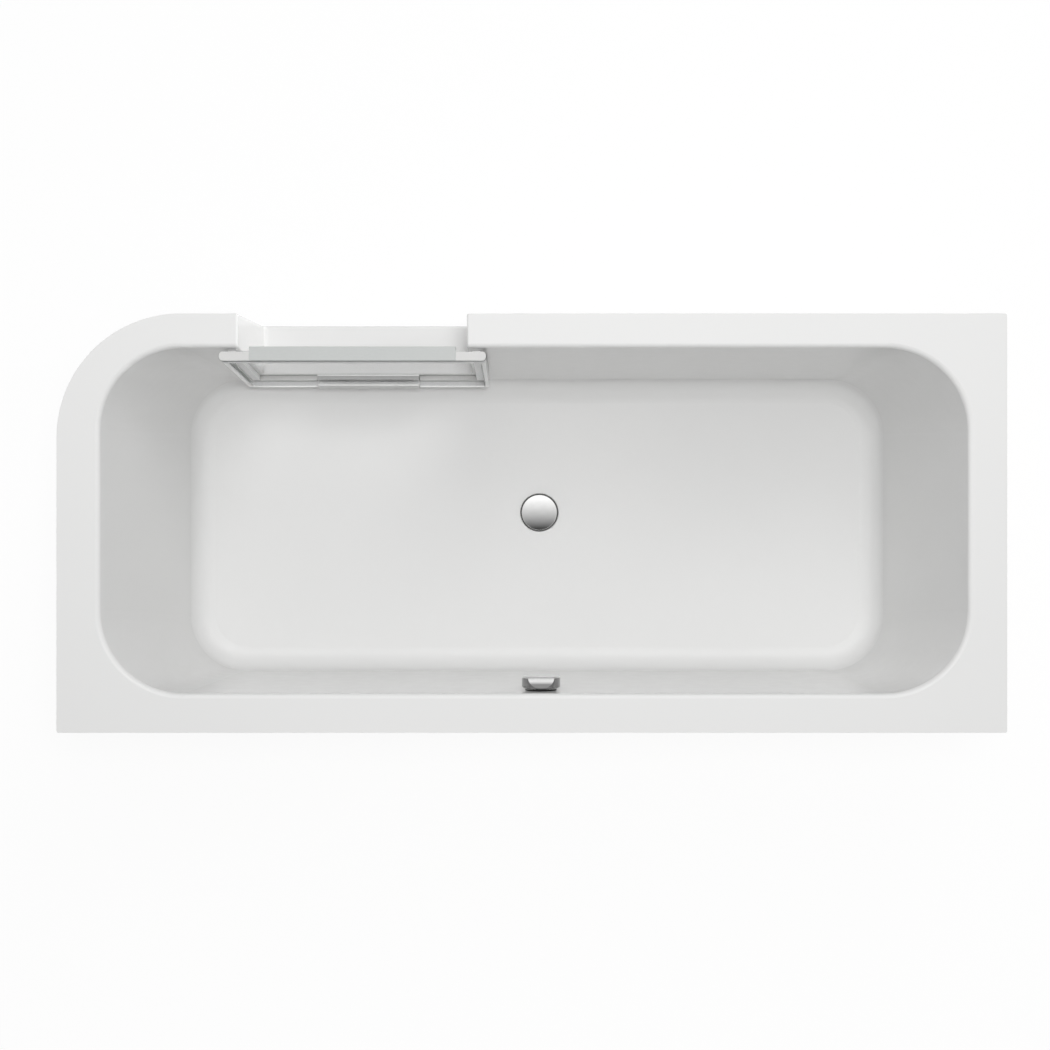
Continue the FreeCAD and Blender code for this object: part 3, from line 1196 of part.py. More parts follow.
def all_pieces():
    pieces = {
        "tub_shell": tub_shell(),
        "floor_board": floor_board(),
        "rim_battens": rim_battens(),
        "apron_panel": apron_panel(),
        "apron_stays": apron_stays(),
        "apron_screws": apron_screws(),
        "rail_screws": rail_screws(),
        "sill_frame": sill_frame(),
        "foot_nuts": foot_nuts(),
        "door_bracket": on_front_wall(door_bracket()).cut(bracket_screws()),
        "bracket_backplate": on_front_wall(bracket_backplate()).cut(bracket_screws()),
        "bracket_screws": bracket_screws(),
        "door_pivot_pin": on_front_wall(pivot_pin()),
        "door_shoe": on_front_wall(door_shoe()),
        "shoe_gasket": on_front_wall(shoe_gasket()),
        "door_glass": on_front_wall(door_glass()),
        "door_top_rail": on_front_wall(door_top_rail()),
        "door_grip_strip": on_front_wall(door_grip_strip()),
        "drain_flange": drain_flange(),
        "drain_gasket_upper": drain_tube(RECESS_RADIUS - FLANGE_GAP, DRAIN_HOLE, RECESS_FLOOR, FLANGE_SEAT),
        "drain_gasket_lower": drain_tube(BODY_FLANGE_RADIUS, DRAIN_HOLE, BODY_TOP, BOSS_UNDERSIDE),
        "drain_body": drain_body(),
        "lever_pin": lever_pin(),
        "lift_lever": lift_lever(),
        "trap_cup": trap_cup(),
        "trap_nut": trap_nut(),
        "overflow_ring": overflow_ring(),
        "overflow_gasket": overflow_gasket(),
        "overflow_body": overflow_body(),
        "overflow_knob": overflow_knob(),
        "knob_spindle": knob_spindle(),
        "overflow_pipe": overflow_pipe(),
        "pipe_nuts": pipe_nuts(),
        "pull_cable": pull_cable(),
    }
    pieces["drain_plug"], pieces["plug_seal"] = plug_pieces()
    pieces["apron_hanger_front"], pieces["apron_hanger_end"] = apron_hangers()
    for side, trim, seal in zip(("left", "right"), door_trims(), door_seals()):
        pieces["door_trim_" + side] = on_front_wall(trim)
        pieces["door_seal_" + side] = on_front_wall(seal)
    for name, (rail_x, front) in RAILS.items():
        pieces["cross_rail_" + name] = cross_rail(rail_x, front)
    for name, foot in FEET.items():
        pieces["foot_stud_" + name] = foot_stud(foot)
        pieces["foot_pad_" + name] = foot_pad(foot)
    return pieces


def main():
    os.makedirs("parts", exist_ok=True)
    skirt = flare(APRON_GROUND_GAP) - APRON_SETBACK
    to_origin = Vector(-skirt / 2, skirt / 2, 0)
    for name, shape in all_pieces().items():
        placed = shape.copy()
        placed.translate(to_origin)
        placed.exportStep("parts/" + name + ".step")
        volume = sum(solid.Volume for solid in placed.Solids)
        print(name, len(placed.Solids), placed.isValid(), round(volume / CUBIC_MM_PER_CM3, 1), "cm3")
    print("moved to the origin by", round(to_origin.x, 4), round(to_origin.y, 4))


main()
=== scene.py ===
"""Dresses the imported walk-in shower bath: finishes, fine detail, studio and camera."""

import logging
import math
from collections.abc import Callable, Iterator, Sequence
from contextlib import contextmanager
from dataclasses import dataclass, field
from enum import Enum
from typing import Any, ClassVar

import bpy
from mathutils import Matrix, Quaternion, Vector


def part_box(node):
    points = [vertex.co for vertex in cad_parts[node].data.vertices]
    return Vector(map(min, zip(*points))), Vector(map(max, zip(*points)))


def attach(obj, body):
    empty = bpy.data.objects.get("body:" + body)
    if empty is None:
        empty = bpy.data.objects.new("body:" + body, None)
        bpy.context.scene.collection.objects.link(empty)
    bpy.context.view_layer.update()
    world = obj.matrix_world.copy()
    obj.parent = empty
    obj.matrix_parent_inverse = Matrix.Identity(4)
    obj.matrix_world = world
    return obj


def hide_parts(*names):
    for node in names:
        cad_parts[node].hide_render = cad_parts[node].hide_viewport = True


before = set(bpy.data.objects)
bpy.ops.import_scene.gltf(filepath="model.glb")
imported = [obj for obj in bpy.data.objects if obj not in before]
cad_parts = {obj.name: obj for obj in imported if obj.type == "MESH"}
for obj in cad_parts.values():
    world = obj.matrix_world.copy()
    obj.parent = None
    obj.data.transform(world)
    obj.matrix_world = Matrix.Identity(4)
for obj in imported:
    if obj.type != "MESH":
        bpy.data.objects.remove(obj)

for stray in ("Cube", "Light", "Camera"):
    if stray in bpy.data.objects:
        bpy.data.objects.remove(bpy.data.objects[stray])

LOG = logging.getLogger("shower_bath")
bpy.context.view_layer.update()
Point = tuple[float, float, float]
Colour = tuple[float, float, float]
WHITE: Colour = (1.0, 1.0, 1.0)
UP = Vector((0.0, 0.0, 1.0))
TO_BACK = Vector((0.0, 1.0, 0.0))
# Where the door hangs on the front wall, and how far it leans.
DOOR_HANG: Point = (0.31063, -0.30363, 0.6)
DOOR_LEAN = math.radians(3.5)


class Body(Enum):
    """The bodies that pieces ride on."""

    TUB = "tub"
    SHOE = "shoe"
    DOOR = "door"
    PLUG = "plug"


class Foot(Enum):
    """The six levelling feet, by place."""

    LEFT_FRONT = "left_front"
    LEFT_BACK = "left_back"
    MIDDLE_FRONT = "middle_front"
    MIDDLE_BACK = "middle_back"
    RIGHT_FRONT = "right_front"
    RIGHT_BACK = "right_back"


class Slot(Enum):
    """The record's material slots."""

    TIMBER = "timber"
    STEEL = "steel"
    ALUMINIUM = "aluminium"
    CHROME = "chrome"
    GLASS = "glass"
    SEAL = "seal"
    GASKET = "gasket"
    FITTING = "fitting"
    PAD = "pad"
    CABLE = "cable"


class Along(Enum):
    """The axis that a grain or a brushed finish follows."""

    X = (1.0, 12.0, 12.0)
    Y = (12.0, 1.0, 12.0)


class Value:
    """A number or colour socket of a shader that takes part in Python arithmetic."""

    def __init__(self, tree: "Shader", socket: bpy.types.NodeSocket) -> None:
        """Wraps a socket of a shader's tree."""
        self.tree = tree
        self.socket = socket

    def _math(self, operation: str, *others: "Value | float") -> "Value":
        """Adds a Math node on this value and others.

        Args:
            operation: The Math node's operation.
            others: The second and third values.

        Returns:
            The node's result.
        """
        inputs = dict(enumerate((self, *others)))
        return self.tree.node("ShaderNodeMath", {"operation": operation}, inputs)

    def __add__(self, other: "Value | float") -> "Value":
        """This value plus another."""
        return self._math("ADD", other)

    def __radd__(self, other: float) -> "Value":
        """A number plus this value."""
        return self + other

    def __sub__(self, other: "Value | float") -> "Value":
        """This value less another."""
        return self._math("SUBTRACT", other)

    def __rsub__(self, other: float) -> "Value":
        """A number less this value."""
        return self * -1.0 + other

    def __mul__(self, other: "Value | float") -> "Value":
        """This value times another."""
        return self._math("MULTIPLY", other)

    def __rmul__(self, other: float) -> "Value":
        """A number times this value."""
        return self * other

    def __abs__(self) -> "Value":
        """This value without its sign."""
        return self._math("ABSOLUTE")

    def __gt__(self, other: "Value | float") -> "Value":
        """One where this value is the larger, otherwise zero."""
        return self._math("GREATER_THAN", other)

    def __lt__(self, other: "Value | float") -> "Value":
        """One where this value is the smaller, otherwise zero."""
        return self._math("LESS_THAN", other)

    def spread(self, low: float, high: float, start: float = 0.0, end: float = 1.0) -> "Value":
        """Maps low..high to start..end, clamped.

        Args:
            low: The value that gives start.
            high: The value that gives end.
            start: The result at low.
            end: The result at high.

        Returns:
            The mapped value.
        """
        inputs = {"Value": self, "From Min": low, "From Max": high, "To Min": start, "To Max": end}
        return self.tree.node("ShaderNodeMapRange", {"clamp": True}, inputs)


@dataclass(frozen=True)
class Grain:
    """A noise pattern: repeats per metre, finer layers, and the range that is drawn out."""

    scale: float
    detail: float
    rough: float = 0.5
    low: float = 0.0
    high: float = 1.0


@dataclass(frozen=True)
class Relief:
    """How strongly a pattern of heights shows, and how deep it is."""

    strength: float
    depth: float


class Shader:
    """One material's node tree, with a Principled shader on its output."""

    def __init__(self, name: str) -> None:
        """Starts a material.

        Args:
            name: The material's name.
        """
        self.material = bpy.data.materials.new(name)
        self.material.use_nodes = True
        self.tree = self.material.node_tree
        self.principled = self.tree.nodes["Principled BSDF"]
        self._place: Value | None = None

    def node(
        self,
        kind: str,
        settings: dict[str, Any] | None = None,
        inputs: dict[Any, Any] | None = None,
        output: int | str = 0,
    ) -> Value:
        """Adds one node.

        Args:
            kind: The node's type.
            settings: Properties of the node, set before its sockets.
            inputs: Values, colours or wrapped sockets, by socket name or index.
            output: Which output to return.

        Returns:
            That output, wrapped.
        """
        added = self.tree.nodes.new(kind)
        for key, value in (settings or {}).items():
            setattr(added, key, value)
        for key, value in (inputs or {}).items():
            self.feed(added.inputs[key], value)
        return Value(self, added.outputs[output])

    def feed(self, socket: bpy.types.NodeSocket, value: Any) -> None:
        """Links a wrapped socket into a socket, or sets its constant.

        Args:
            socket: The socket that is fed.
            value: A wrapped socket, a number, a vector or a colour.
        """
        if isinstance(value, Value):
            self.tree.links.new(value.socket, socket)
        elif isinstance(value, tuple) and len(value) == 3 and socket.type == "RGBA":
            socket.default_value = (*value, 1.0)
        else:
            socket.default_value = value

    def set(self, **inputs: Any) -> None:
        """Sets or links the Principled shader's sockets, with spaces written as underscores."""
        for name, value in inputs.items():
            self.feed(self.principled.inputs[name.replace("_", " ")], value)

    @property
    def place(self) -> Value:
        """The point on the surface, in object coordinates.

        Returns:
            The point, added on first use.
        """
        if self._place is None:
            self._place = self.node("ShaderNodeTexCoord", output="Object")
        return self._place

    def axes(self, vector: Value) -> tuple[Value, Value, Value]:
        """Splits a vector into its three numbers."""
        outputs = self.node("ShaderNodeSeparateXYZ", inputs={0: vector}).socket.node.outputs
        return Value(self, outputs[0]), Value(self, outputs[1]), Value(self, outputs[2])

    def stretched(self, scale: Point, turn: Point = (0.0, 0.0, 0.0)) -> Value:
        """Object coordinates scaled by axis and turned."""
        inputs = {"Vector": self.place, "Scale": scale, "Rotation": turn}
        return self.node("ShaderNodeMapping", {}, inputs)

    def noise(self, grain: Grain, place: Value | None = None) -> Value:
        """A noise value.

        Args:
            grain: The pattern.
            place: Where it is read; the surface point if left out.

        Returns:
            A value about 0.5.
        """
        inputs = {"Scale": grain.scale, "Detail": grain.detail, "Roughness": grain.rough}
        return self.node("ShaderNodeTexNoise", {}, {"Vector": place or self.place, **inputs})

    def share(self, grain: Grain, start: float = 0.0, end: float = 1.0) -> Value:
        """A noise value whose used range is drawn out to start..end."""
        return self.noise(grain).spread(grain.low, grain.high, start, end)

    def cells(self, scale: float, place: Value | None = None) -> Value:
        """A pattern of cells.

        Args:
            scale: Cells per metre.
            place: Where it is read; the surface point if left out.

        Returns:
            Each cell's own value from 0 to 1.
        """
        inputs = {"Vector": place or self.place, "Scale": scale}
        colour = self.node("ShaderNodeTexVoronoi", {}, inputs, "Color")
        return self.node("ShaderNodeSeparateColor", {}, {0: colour})

    def mix(self, factor: Value | float, first: Any, second: Any) -> Value:
        """Blends two colours by a factor."""
        inputs = {"Factor": factor, 6: first, 7: second}
        return self.node("ShaderNodeMix", {"data_type": "RGBA"}, inputs, 2)

    def blend(self, factor: Value, first: Any, second: Any) -> Value:
        """Blends two numbers by a factor."""
        inputs = {"Factor": factor, 2: first, 3: second}
        return self.node("ShaderNodeMix", {"data_type": "FLOAT"}, inputs, 0)

    def bump(self, height: Value, relief: Relief) -> None:
        """Feeds the shader's normal from a height in the range 0 to 1."""
        inputs = {"Height": height, "Strength": relief.strength, "Distance": relief.depth}
        self.set(Normal=self.node("ShaderNodeBump", {}, inputs))


@dataclass(frozen=True)
class Finish:
    """A finish that can be made into a material."""

    name: str
    made: ClassVar[dict[str, bpy.types.Material]] = {}

    def paint(self, shader: Shader) -> None:
        """Fills in the shader; each finish has its own."""
        raise NotImplementedError

    def material(self) -> bpy.types.Material:
        """The finish's material.

        Returns:
            The material, made on first use.
        """
        if self.name not in Finish.made:
            shader = Shader(self.name)
            self.paint(shader)
            Finish.made[self.name] = shader.material
        return Finish.made[self.name]


WATER_FILM = Grain(90.0, 4.0, low=0.4, high=0.75)
CHROME_RIPPLE = Grain(420.0, 1.0)
BRUSHED = Grain(110.0, 4.0, 0.65, 0.3, 0.7)
RUBBER_BLOOM = Grain(45.0, 4.0, low=0.45, high=0.8)
RUBBER_GRAIN = Grain(900.0, 2.0)


@dataclass(frozen=True)
class Acrylic(Finish):
    """White gloss acrylic, with a resin and glass-fibre coat on the back of the basin."""

    white: Colour = (0.768, 0.768, 0.762)
    shade: Colour = (0.748, 0.748, 0.744)
    resin: Colour = (0.62, 0.60, 0.53)
    strand: Colour = (0.74, 0.72, 0.65)
    basin_middle: Point = (-0.01, 0.0, 0.40)
    fibre: float = 1.0
    back_low: Point = (-0.845, -0.29, 0.0)
    back_high: Point = (0.825, 0.372, 0.558)
    clouds: Grain = Grain(2.4, 2.0)
    strands: Grain = Grain(55.0, 5.0, 0.7)
    long_stretch: Point = (1.0, 7.0, 3.0)
    long_turn: Point = (0.3, 0.5, 0.6)
    cross_stretch: Point = (7.0, 1.0, 4.0)
    cross_turn: Point = (0.2, 0.7, 0.4)
    mat_range: tuple[float, float] = (0.85, 1.2)
    mat_rough: tuple[float, float] = (0.42, 0.62)
    film: Grain = Grain(38.0, 3.0, low=0.35, high=0.7)
    film_rough: tuple[float, float] = (0.13, 0.15)
    peel: Grain = Grain(140.0, 2.0)
    peel_height: float = 0.003
    relief: Relief = Relief(0.35, 0.0012)
    ior: float = 1.49

    def back_mask(self, shader: Shader) -> Value:
        """The share of fibre: all on the hidden side of the basin, otherwise none.

        Args:
            shader: The shader that it is added to.

        Returns:
            The mask.
        """
        normal = shader.node("ShaderNodeNewGeometry", output="Normal")
        away = shader.node(
            "ShaderNodeVectorMath", {"operation": "SUBTRACT"}, {0: shader.place, 1: self.basin_middle}
        )
        facing = shader.node(
            "ShaderNodeVectorMath", {"operation": "DOT_PRODUCT"}, {0: normal, 1: away}, "Value"
        )
        mask = (facing > 0.0) * self.fibre
        for number, low, high in zip(shader.axes(shader.place), self.back_low, self.back_high):
            mask = mask * (number > low) * (number < high)
        return mask

    def paint(self, shader: Shader) -> None:
        """Gloss over a faintly uneven white, and strands in resin behind.

        Args:
            shader: The shader to fill in.
        """
        back = self.back_mask(shader)
        gloss = shader.mix(shader.noise(self.clouds), self.shade, self.white)
        long_strands = shader.noise(self.strands, shader.stretched(self.long_stretch, self.long_turn))
        cross_strands = shader.noise(self.strands, shader.stretched(self.cross_stretch, self.cross_turn))
        mat = (long_strands + cross_strands).spread(*self.mat_range)
        behind = shader.mix(mat, self.resin, self.strand)
        film = shader.share(self.film, *self.film_rough)
        shader.set(
            Base_Color=shader.mix(back, gloss, behind),
            Roughness=shader.blend(back, film, mat.spread(0.0, 1.0, *self.mat_rough)),
            IOR=self.ior,
        )
        shader.bump(shader.blend(back, shader.noise(self.peel) * self.peel_height, mat), self.relief)


@dataclass(frozen=True)
class ClearGlass(Finish):
    """Clear glass as a thin film, so that what lies behind shows in place, with denser cut edges."""

    body: Colour = (0.42, 0.45, 0.44)
    edge: Colour = (0.66, 0.72, 0.70)
    marked: Colour = (0.62, 0.64, 0.63)
    body_film: float = 0.045
    edge_film: float = 0.3
    half_width: float = 0.237
    edge_width: float = 0.0012
    marks: Grain = Grain(70.0, 4.0, low=0.56, high=0.75)
    mark_tint: float = 0.25
    mark_film: float = 0.02
    mark_rough: float = 0.08
    rough: float = 0.03
    ior: float = 1.52

    def paint(self, shader: Shader) -> None:
        """Tints the cut edges and leaves a trace of dried water on the faces.

        Args:
            shader: The shader to fill in.
        """
        x, _, _ = shader.axes(shader.place)
        rim = abs(x - DOOR_HANG[0]) > self.half_width - self.edge_width
        marks = shader.share(self.marks)
        faces = shader.mix(marks * self.mark_tint, self.body, self.marked)
        shader.set(
            Base_Color=shader.mix(rim, faces, self.edge),
            Roughness=marks * self.mark_rough + self.rough,
            Alpha=shader.blend(rim, marks * self.mark_film + self.body_film, self.edge_film),
            IOR=self.ior,
        )


@dataclass(frozen=True)
class BrightPlate(Finish):
    """Bright chrome plate with a trace of water film."""

    colour: Colour = (0.80, 0.80, 0.795)
    dull: Colour = (0.775, 0.775, 0.77)
    rough: float = 0.05
    film_rough: float = 0.06
    relief: Relief = Relief(0.01, 0.0002)

    def paint(self, shader: Shader) -> None:
        """A mirror that is a little uneven.

        Args:
            shader: The shader to fill in.
        """
        film = shader.share(WATER_FILM)
        shader.set(
            Base_Color=shader.mix(film, self.colour, self.dull),
            Roughness=film * self.film_rough + self.rough,
            Metallic=1.0,
        )
        shader.bump(shader.noise(CHROME_RIPPLE), self.relief)


@dataclass(frozen=True)
class SatinMetal(Finish):
    """A metal or metallic lacquer with fine lines along one axis."""

    colour: Colour = (0.80, 0.81, 0.80)
    dark: Colour = (0.70, 0.715, 0.705)
    rough: float = 0.30
    metallic: float = 1.0
    along: Along = Along.X
    line_rough: float = 0.1
    relief: Relief = Relief(0.08, 0.0004)

    def paint(self, shader: Shader) -> None:
        """Draws the lines in colour, gloss and height.

        Args:
            shader: The shader to fill in.
        """
        lines = shader.noise(BRUSHED, shader.stretched(self.along.value))
        share = lines.spread(BRUSHED.low, BRUSHED.high)
        shader.set(
            Base_Color=shader.mix(share, self.dark, self.colour),
            Roughness=share * self.line_rough + self.rough,
            Metallic=self.metallic,
        )
        shader.bump(lines, self.relief)


@dataclass(frozen=True)
class RailMetal(Finish):
    """Brushed metal with painted light and shade: one tone on its upward faces and another on its upright
    faces.
    """

    # The top and side tones are painted light and shade, set by which way a face looks.
    top: Colour = (0.61, 0.61, 0.602)
    side: Colour = (0.70, 0.705, 0.705)
    rough: float = 0.24
    line_rough: float = 0.1
    line_lift: float = 0.1
    painted_top_range: tuple[float, float] = (0.35, 0.85)
    relief: Relief = Relief(0.06, 0.0004)

    def paint(self, shader: Shader) -> None:
        """Blends the two painted light and shade tones by how far a face looks up, under fine lines.

        Args:
            shader: The shader to fill in.
        """
        _, _, up = shader.axes(shader.node("ShaderNodeNewGeometry", output="Normal"))
        lines = shader.noise(BRUSHED, shader.stretched(Along.X.value))
        share = (up + lines * self.line_lift).spread(*self.painted_top_range)
        shader.set(
            Base_Color=shader.mix(share, self.side, self.top),
            Roughness=lines * self.line_rough + self.rough,
        )
        shader.bump(lines, self.relief)


@dataclass(frozen=True)
class ShoeMetalPaintedShade(Finish):
    """Satin metal in three tones: darker behind the pane as painted shade, lighter in the slot that holds
    it as painted light, and its own tone on the lip before it.
    """

    # The tone behind the pane is painted shade and the slot's tone is painted light; the lip's tone is the
    # metal's own.
    behind: Colour = (0.385, 0.386, 0.383)
    lip: Colour = (0.66, 0.662, 0.655)
    slot: Colour = (0.93, 0.93, 0.925)
    slot_from: float = 0.0093
    lip_from: float = 0.018
    line: Colour = (0.2, 0.2, 0.2)
    line_tint: float = 0.12
    rough: float = 0.3
    line_rough: float = 0.12
    relief: Relief = Relief(0.06, 0.0004)

    def paint(self, shader: Shader) -> None:
        """Picks the tone by how far in from the wall each point lies, painting shade behind the pane and
        light in the slot.

        Args:
            shader: The shader to fill in.
        """
        _, y, z = shader.axes(shader.place)
        inward = (y - DOOR_HANG[1]) * math.cos(DOOR_LEAN) + (z - DOOR_HANG[2]) * math.sin(DOOR_LEAN)
        lines = shader.noise(BRUSHED, shader.stretched(Along.X.value))
        colour = shader.mix(inward > self.slot_from, self.behind, self.slot)
        colour = shader.mix(inward > self.lip_from, colour, self.lip)
        tint = lines.spread(BRUSHED.low, BRUSHED.high) * self.line_tint
        shader.set(
            Base_Color=shader.mix(tint, colour, self.line),
            Roughness=lines * self.line_rough + self.rough,
        )
        shader.bump(lines, self.relief)


@dataclass(frozen=True)
class ScoopedChrome(Finish):
    """Chrome with a painted highlight on its scooped faces and painted shade on the rest, over what it
    mirrors.
    """

    # The bright tone is a painted highlight and the dark tone is painted shade, chosen by which way each
    # face looks.
    bright: Colour = (0.72, 0.72, 0.715)
    dark: Colour = (0.36, 0.36, 0.36)
    film_lean: float = 0.05
    painted_highlight_from: tuple[float, float] = (0.12, 0.34)
    painted_highlight_to: tuple[float, float] = (0.70, 0.90)
    rough: float = 0.06
    film_rough: float = 0.08
    relief: Relief = Relief(0.03, 0.0003)

    def paint(self, shader: Shader) -> None:
        """Paints a highlight on what leans to the front but doesn't face it, and shade on the rest.

        Args:
            shader: The shader to fill in.
        """
        _, back, _ = shader.axes(shader.node("ShaderNodeNewGeometry", output="Normal"))
        film = shader.share(WATER_FILM)
        lean = back * -1.0 + film * self.film_lean
        # The share of painted highlight, by how far each face leans to the front.
        share = lean.spread(*self.painted_highlight_from) * lean.spread(*self.painted_highlight_to, 1.0, 0.0)
        shader.set(
            Base_Color=shader.mix(share, self.dark, self.bright),
            Roughness=film * self.film_rough + self.rough,
            Metallic=1.0,
        )
        shader.bump(shader.noise(CHROME_RIPPLE), self.relief)


@dataclass(frozen=True)
class ZincSteel(Finish):
    """Galvanised steel with spangle and dull patches."""

    colour: Colour = (0.56, 0.58, 0.60)
    dark: Colour = (0.42, 0.44, 0.46)
    spangle_scale: float = 130.0
    spangle_weight: float = 0.55
    film: Grain = Grain(18.0, 4.0, low=0.35, high=0.75)
    film_weight: float = 0.45
    rough: float = 0.30
    film_rough: float = 0.22
    metallic: float = 0.9
    relief: Relief = Relief(0.06, 0.0005)

    def paint(self, shader: Shader) -> None:
        """Spangle cells under a cloudy oxide film.

        Args:
            shader: The shader to fill in.
        """
        spangle = shader.cells(self.spangle_scale)
        share = spangle * self.spangle_weight + shader.share(self.film) * self.film_weight
        shader.set(
            Base_Color=shader.mix(share, self.dark, self.colour),
            Roughness=share * self.film_rough + self.rough,
            Metallic=self.metallic,
        )
        shader.bump(spangle, self.relief)


@dataclass(frozen=True)
class SoftRubber(Finish):
    """Matt rubber or soft seal, with fine bloom."""

    colour: Colour = (0.030, 0.033, 0.034)
    bloom: Colour = (0.075, 0.08, 0.082)
    rough: float = 0.55
    bloom_rough: float = 0.2
    relief: Relief = Relief(0.15, 0.0003)

    def tone(self, shader: Shader, bloom: Value) -> Value:
        """The colour with its bloom."""
        return shader.mix(bloom, self.colour, self.bloom)

    def paint(self, shader: Shader) -> None:
        """A dusty bloom over a fine grain.

        Args:
            shader: The shader to fill in.
        """
        bloom = shader.share(RUBBER_BLOOM)
        shader.set(
            Base_Color=self.tone(shader, bloom),
            Roughness=bloom * self.bloom_rough + self.rough,
        )
        shader.bump(shader.noise(RUBBER_GRAIN), self.relief)


@dataclass(frozen=True)
class DoorSeal(SoftRubber):
    """Pale seal whose run along the foot of the pane is greyer."""

    relief: Relief = Relief(0.1, 0.0003)
    grey: Colour = (0.55, 0.55, 0.542)
    grey_below: float = 0.2475
    fade: float = 0.004

    def tone(self, shader: Shader, bloom: Value) -> Value:
        """Grey below, the seal's own colour above.

        Args:
            shader: The shader that it is added to.
            bloom: The share of bloom.

        Returns:
            The colour.
        """
        _, _, height = shader.axes(shader.place)
        own = shader.mix(bloom, self.colour, self.bloom)
        return shader.mix(height.spread(self.grey_below, self.grey_below + self.fade), self.grey, own)


@dataclass(frozen=True)
class MouldedPlastic(Finish):
    """Moulded plastic with a spark-eroded grain."""

    colour: Colour = (0.78, 0.78, 0.75)
    shade: Colour = (0.70, 0.70, 0.67)
    rough: float = 0.38
    flow: Grain = Grain(12.0, 3.0)
    grain: Grain = Grain(650.0, 2.0, low=0.3, high=0.7)
    smoother: float = 0.06
    rougher: float = 0.08
    relief: Relief = Relief(0.12, 0.0004)

    def paint(self, shader: Shader) -> None:
        """Flow marks in the colour and a fine grain in the height.

        Args:
            shader: The shader to fill in.
        """
        shader.set(
            Base_Color=shader.mix(shader.noise(self.flow), self.shade, self.colour),
            Roughness=shader.share(self.grain, self.rough - self.smoother, self.rough + self.rougher),
        )
        shader.bump(shader.noise(self.grain), self.relief)


@dataclass(frozen=True)
class ChipBoard(Finish):
    """Bare chipboard: flakes of several browns pressed together."""

    light: Colour = (0.52, 0.40, 0.25)
    dark: Colour = (0.28, 0.19, 0.105)
    large_scale: float = 170.0
    large_stretch: Point = (1.0, 2.2, 1.6)
    large_weight: float = 0.6
    small_scale: float = 520.0
    small_stretch: Point = (2.4, 1.0, 1.5)
    small_weight: float = 0.4
    rough: float = 0.68
    flake_rough: float = 0.15
    relief: Relief = Relief(0.25, 0.0006)

    def paint(self, shader: Shader) -> None:
        """Large flakes over small ones.

        Args:
            shader: The shader to fill in.
        """
        large = shader.cells(self.large_scale, shader.stretched(self.large_stretch))
        small = shader.cells(self.small_scale, shader.stretched(self.small_stretch))
        share = large * self.large_weight + small * self.small_weight
        shader.set(
            Base_Color=shader.mix(share, self.dark, self.light),
            Roughness=share * self.flake_rough + self.rough,
        )
        shader.bump(share, self.relief)


@dataclass(frozen=True)
class Softwood(Finish):
    """Planed softwood with rings along its length."""

    early: Colour = (0.60, 0.44, 0.26)
    late: Colour = (0.36, 0.22, 0.11)
    along: Along = Along.X
    ring_scale: float = 9.0
    ring_wander: float = 5.0
    ring_detail: float = 2.0
    ring_weight: float = 0.65
    fibres: Grain = Grain(240.0, 3.0)
    fibre_weight: float = 0.35
    tone_range: tuple[float, float] = (0.2, 0.85)
    rough: float = 0.55
    fibre_rough: float = 0.2
    relief: Relief = Relief(0.15, 0.0005)

    def paint(self, shader: Shader) -> None:
        """Growth rings, with fibres between them.

        Args:
            shader: The shader to fill in.
        """
        place = shader.stretched(self.along.value)
        inputs = {"Scale": self.ring_scale, "Distortion": self.ring_wander, "Detail": self.ring_detail}
        rings = shader.node(
            "ShaderNodeTexWave", {"bands_direction": "DIAGONAL"}, {"Vector": place, **inputs}, "Fac"
        )
        fibre = shader.noise(self.fibres, place)
        share = rings * self.ring_weight + fibre * self.fibre_weight
        shader.set(
            Base_Color=shader.mix(share.spread(*self.tone_range), self.late, self.early),
            Roughness=fibre * self.fibre_rough + self.rough,
        )
        shader.bump(fibre, self.relief)


ACRYLIC = Acrylic("gloss_acrylic")
PANEL = Acrylic("panel_acrylic", fibre=0.0)
GLASS = ClearGlass("door_pane")
CHROME = BrightPlate("bright_chrome")
# Chrome darkened as painted shade, for the shadowed gap round the plug.
PAINTED_SHADE_CHROME = BrightPlate("dark_chrome", (0.17, 0.17, 0.168), (0.13, 0.13, 0.129))
# Chrome made near black as painted shadow, for the shade behind the knob.
PAINTED_SHADOW_CHROME = BrightPlate("black_chrome", (0.030, 0.030, 0.030), (0.022, 0.022, 0.022))
KNOB_CHROME = ScoopedChrome("knob_chrome")
RAIL_METAL = RailMetal("rail_metal")
GRIP_METAL = SatinMetal("grip_metal", (0.515, 0.53, 0.522), (0.475, 0.49, 0.482), 0.34, 0.1)
# Shoe and trims both take painted shade behind the pane and painted light in the slot.
SHOE_METAL = ShoeMetalPaintedShade("shoe_metal")
TRIM_METAL = ShoeMetalPaintedShade("trim_metal", (0.80, 0.802, 0.80), (0.95, 0.95, 0.945), (0.86, 0.862, 0.86))
STEEL = ZincSteel("zinc_steel")
SEAL = DoorSeal("soft_seal", (0.90, 0.902, 0.90), (0.93, 0.932, 0.93), 0.42)
GASKET = SoftRubber("black_rubber")
FITTING = MouldedPlastic("waste_plastic")
PAD = MouldedPlastic("foot_plastic", (0.035, 0.035, 0.036), (0.022, 0.022, 0.023), 0.48)
CABLE = MouldedPlastic("cable_sleeve", (0.030, 0.030, 0.032), (0.02, 0.02, 0.021), 0.40)
BOARD = ChipBoard("chipboard")
TIMBER_X = Softwood("softwood_long")
TIMBER_Y = Softwood("softwood_across", along=Along.Y)


def cad(node: str) -> bpy.types.Object:
    """A CAD node's object."""
    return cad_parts[node]


def dress_nodes(finish: Finish, *nodes: str) -> None:
    """Gives CAD nodes a finish.

    Args:
        finish: What they are made of.
        nodes: The nodes' names.
    """
    for node in nodes:
        for material_slot in cad(node).material_slots:
            material_slot.material = finish.material()
        LOG.info("dressed %s in %s", node, finish.name)


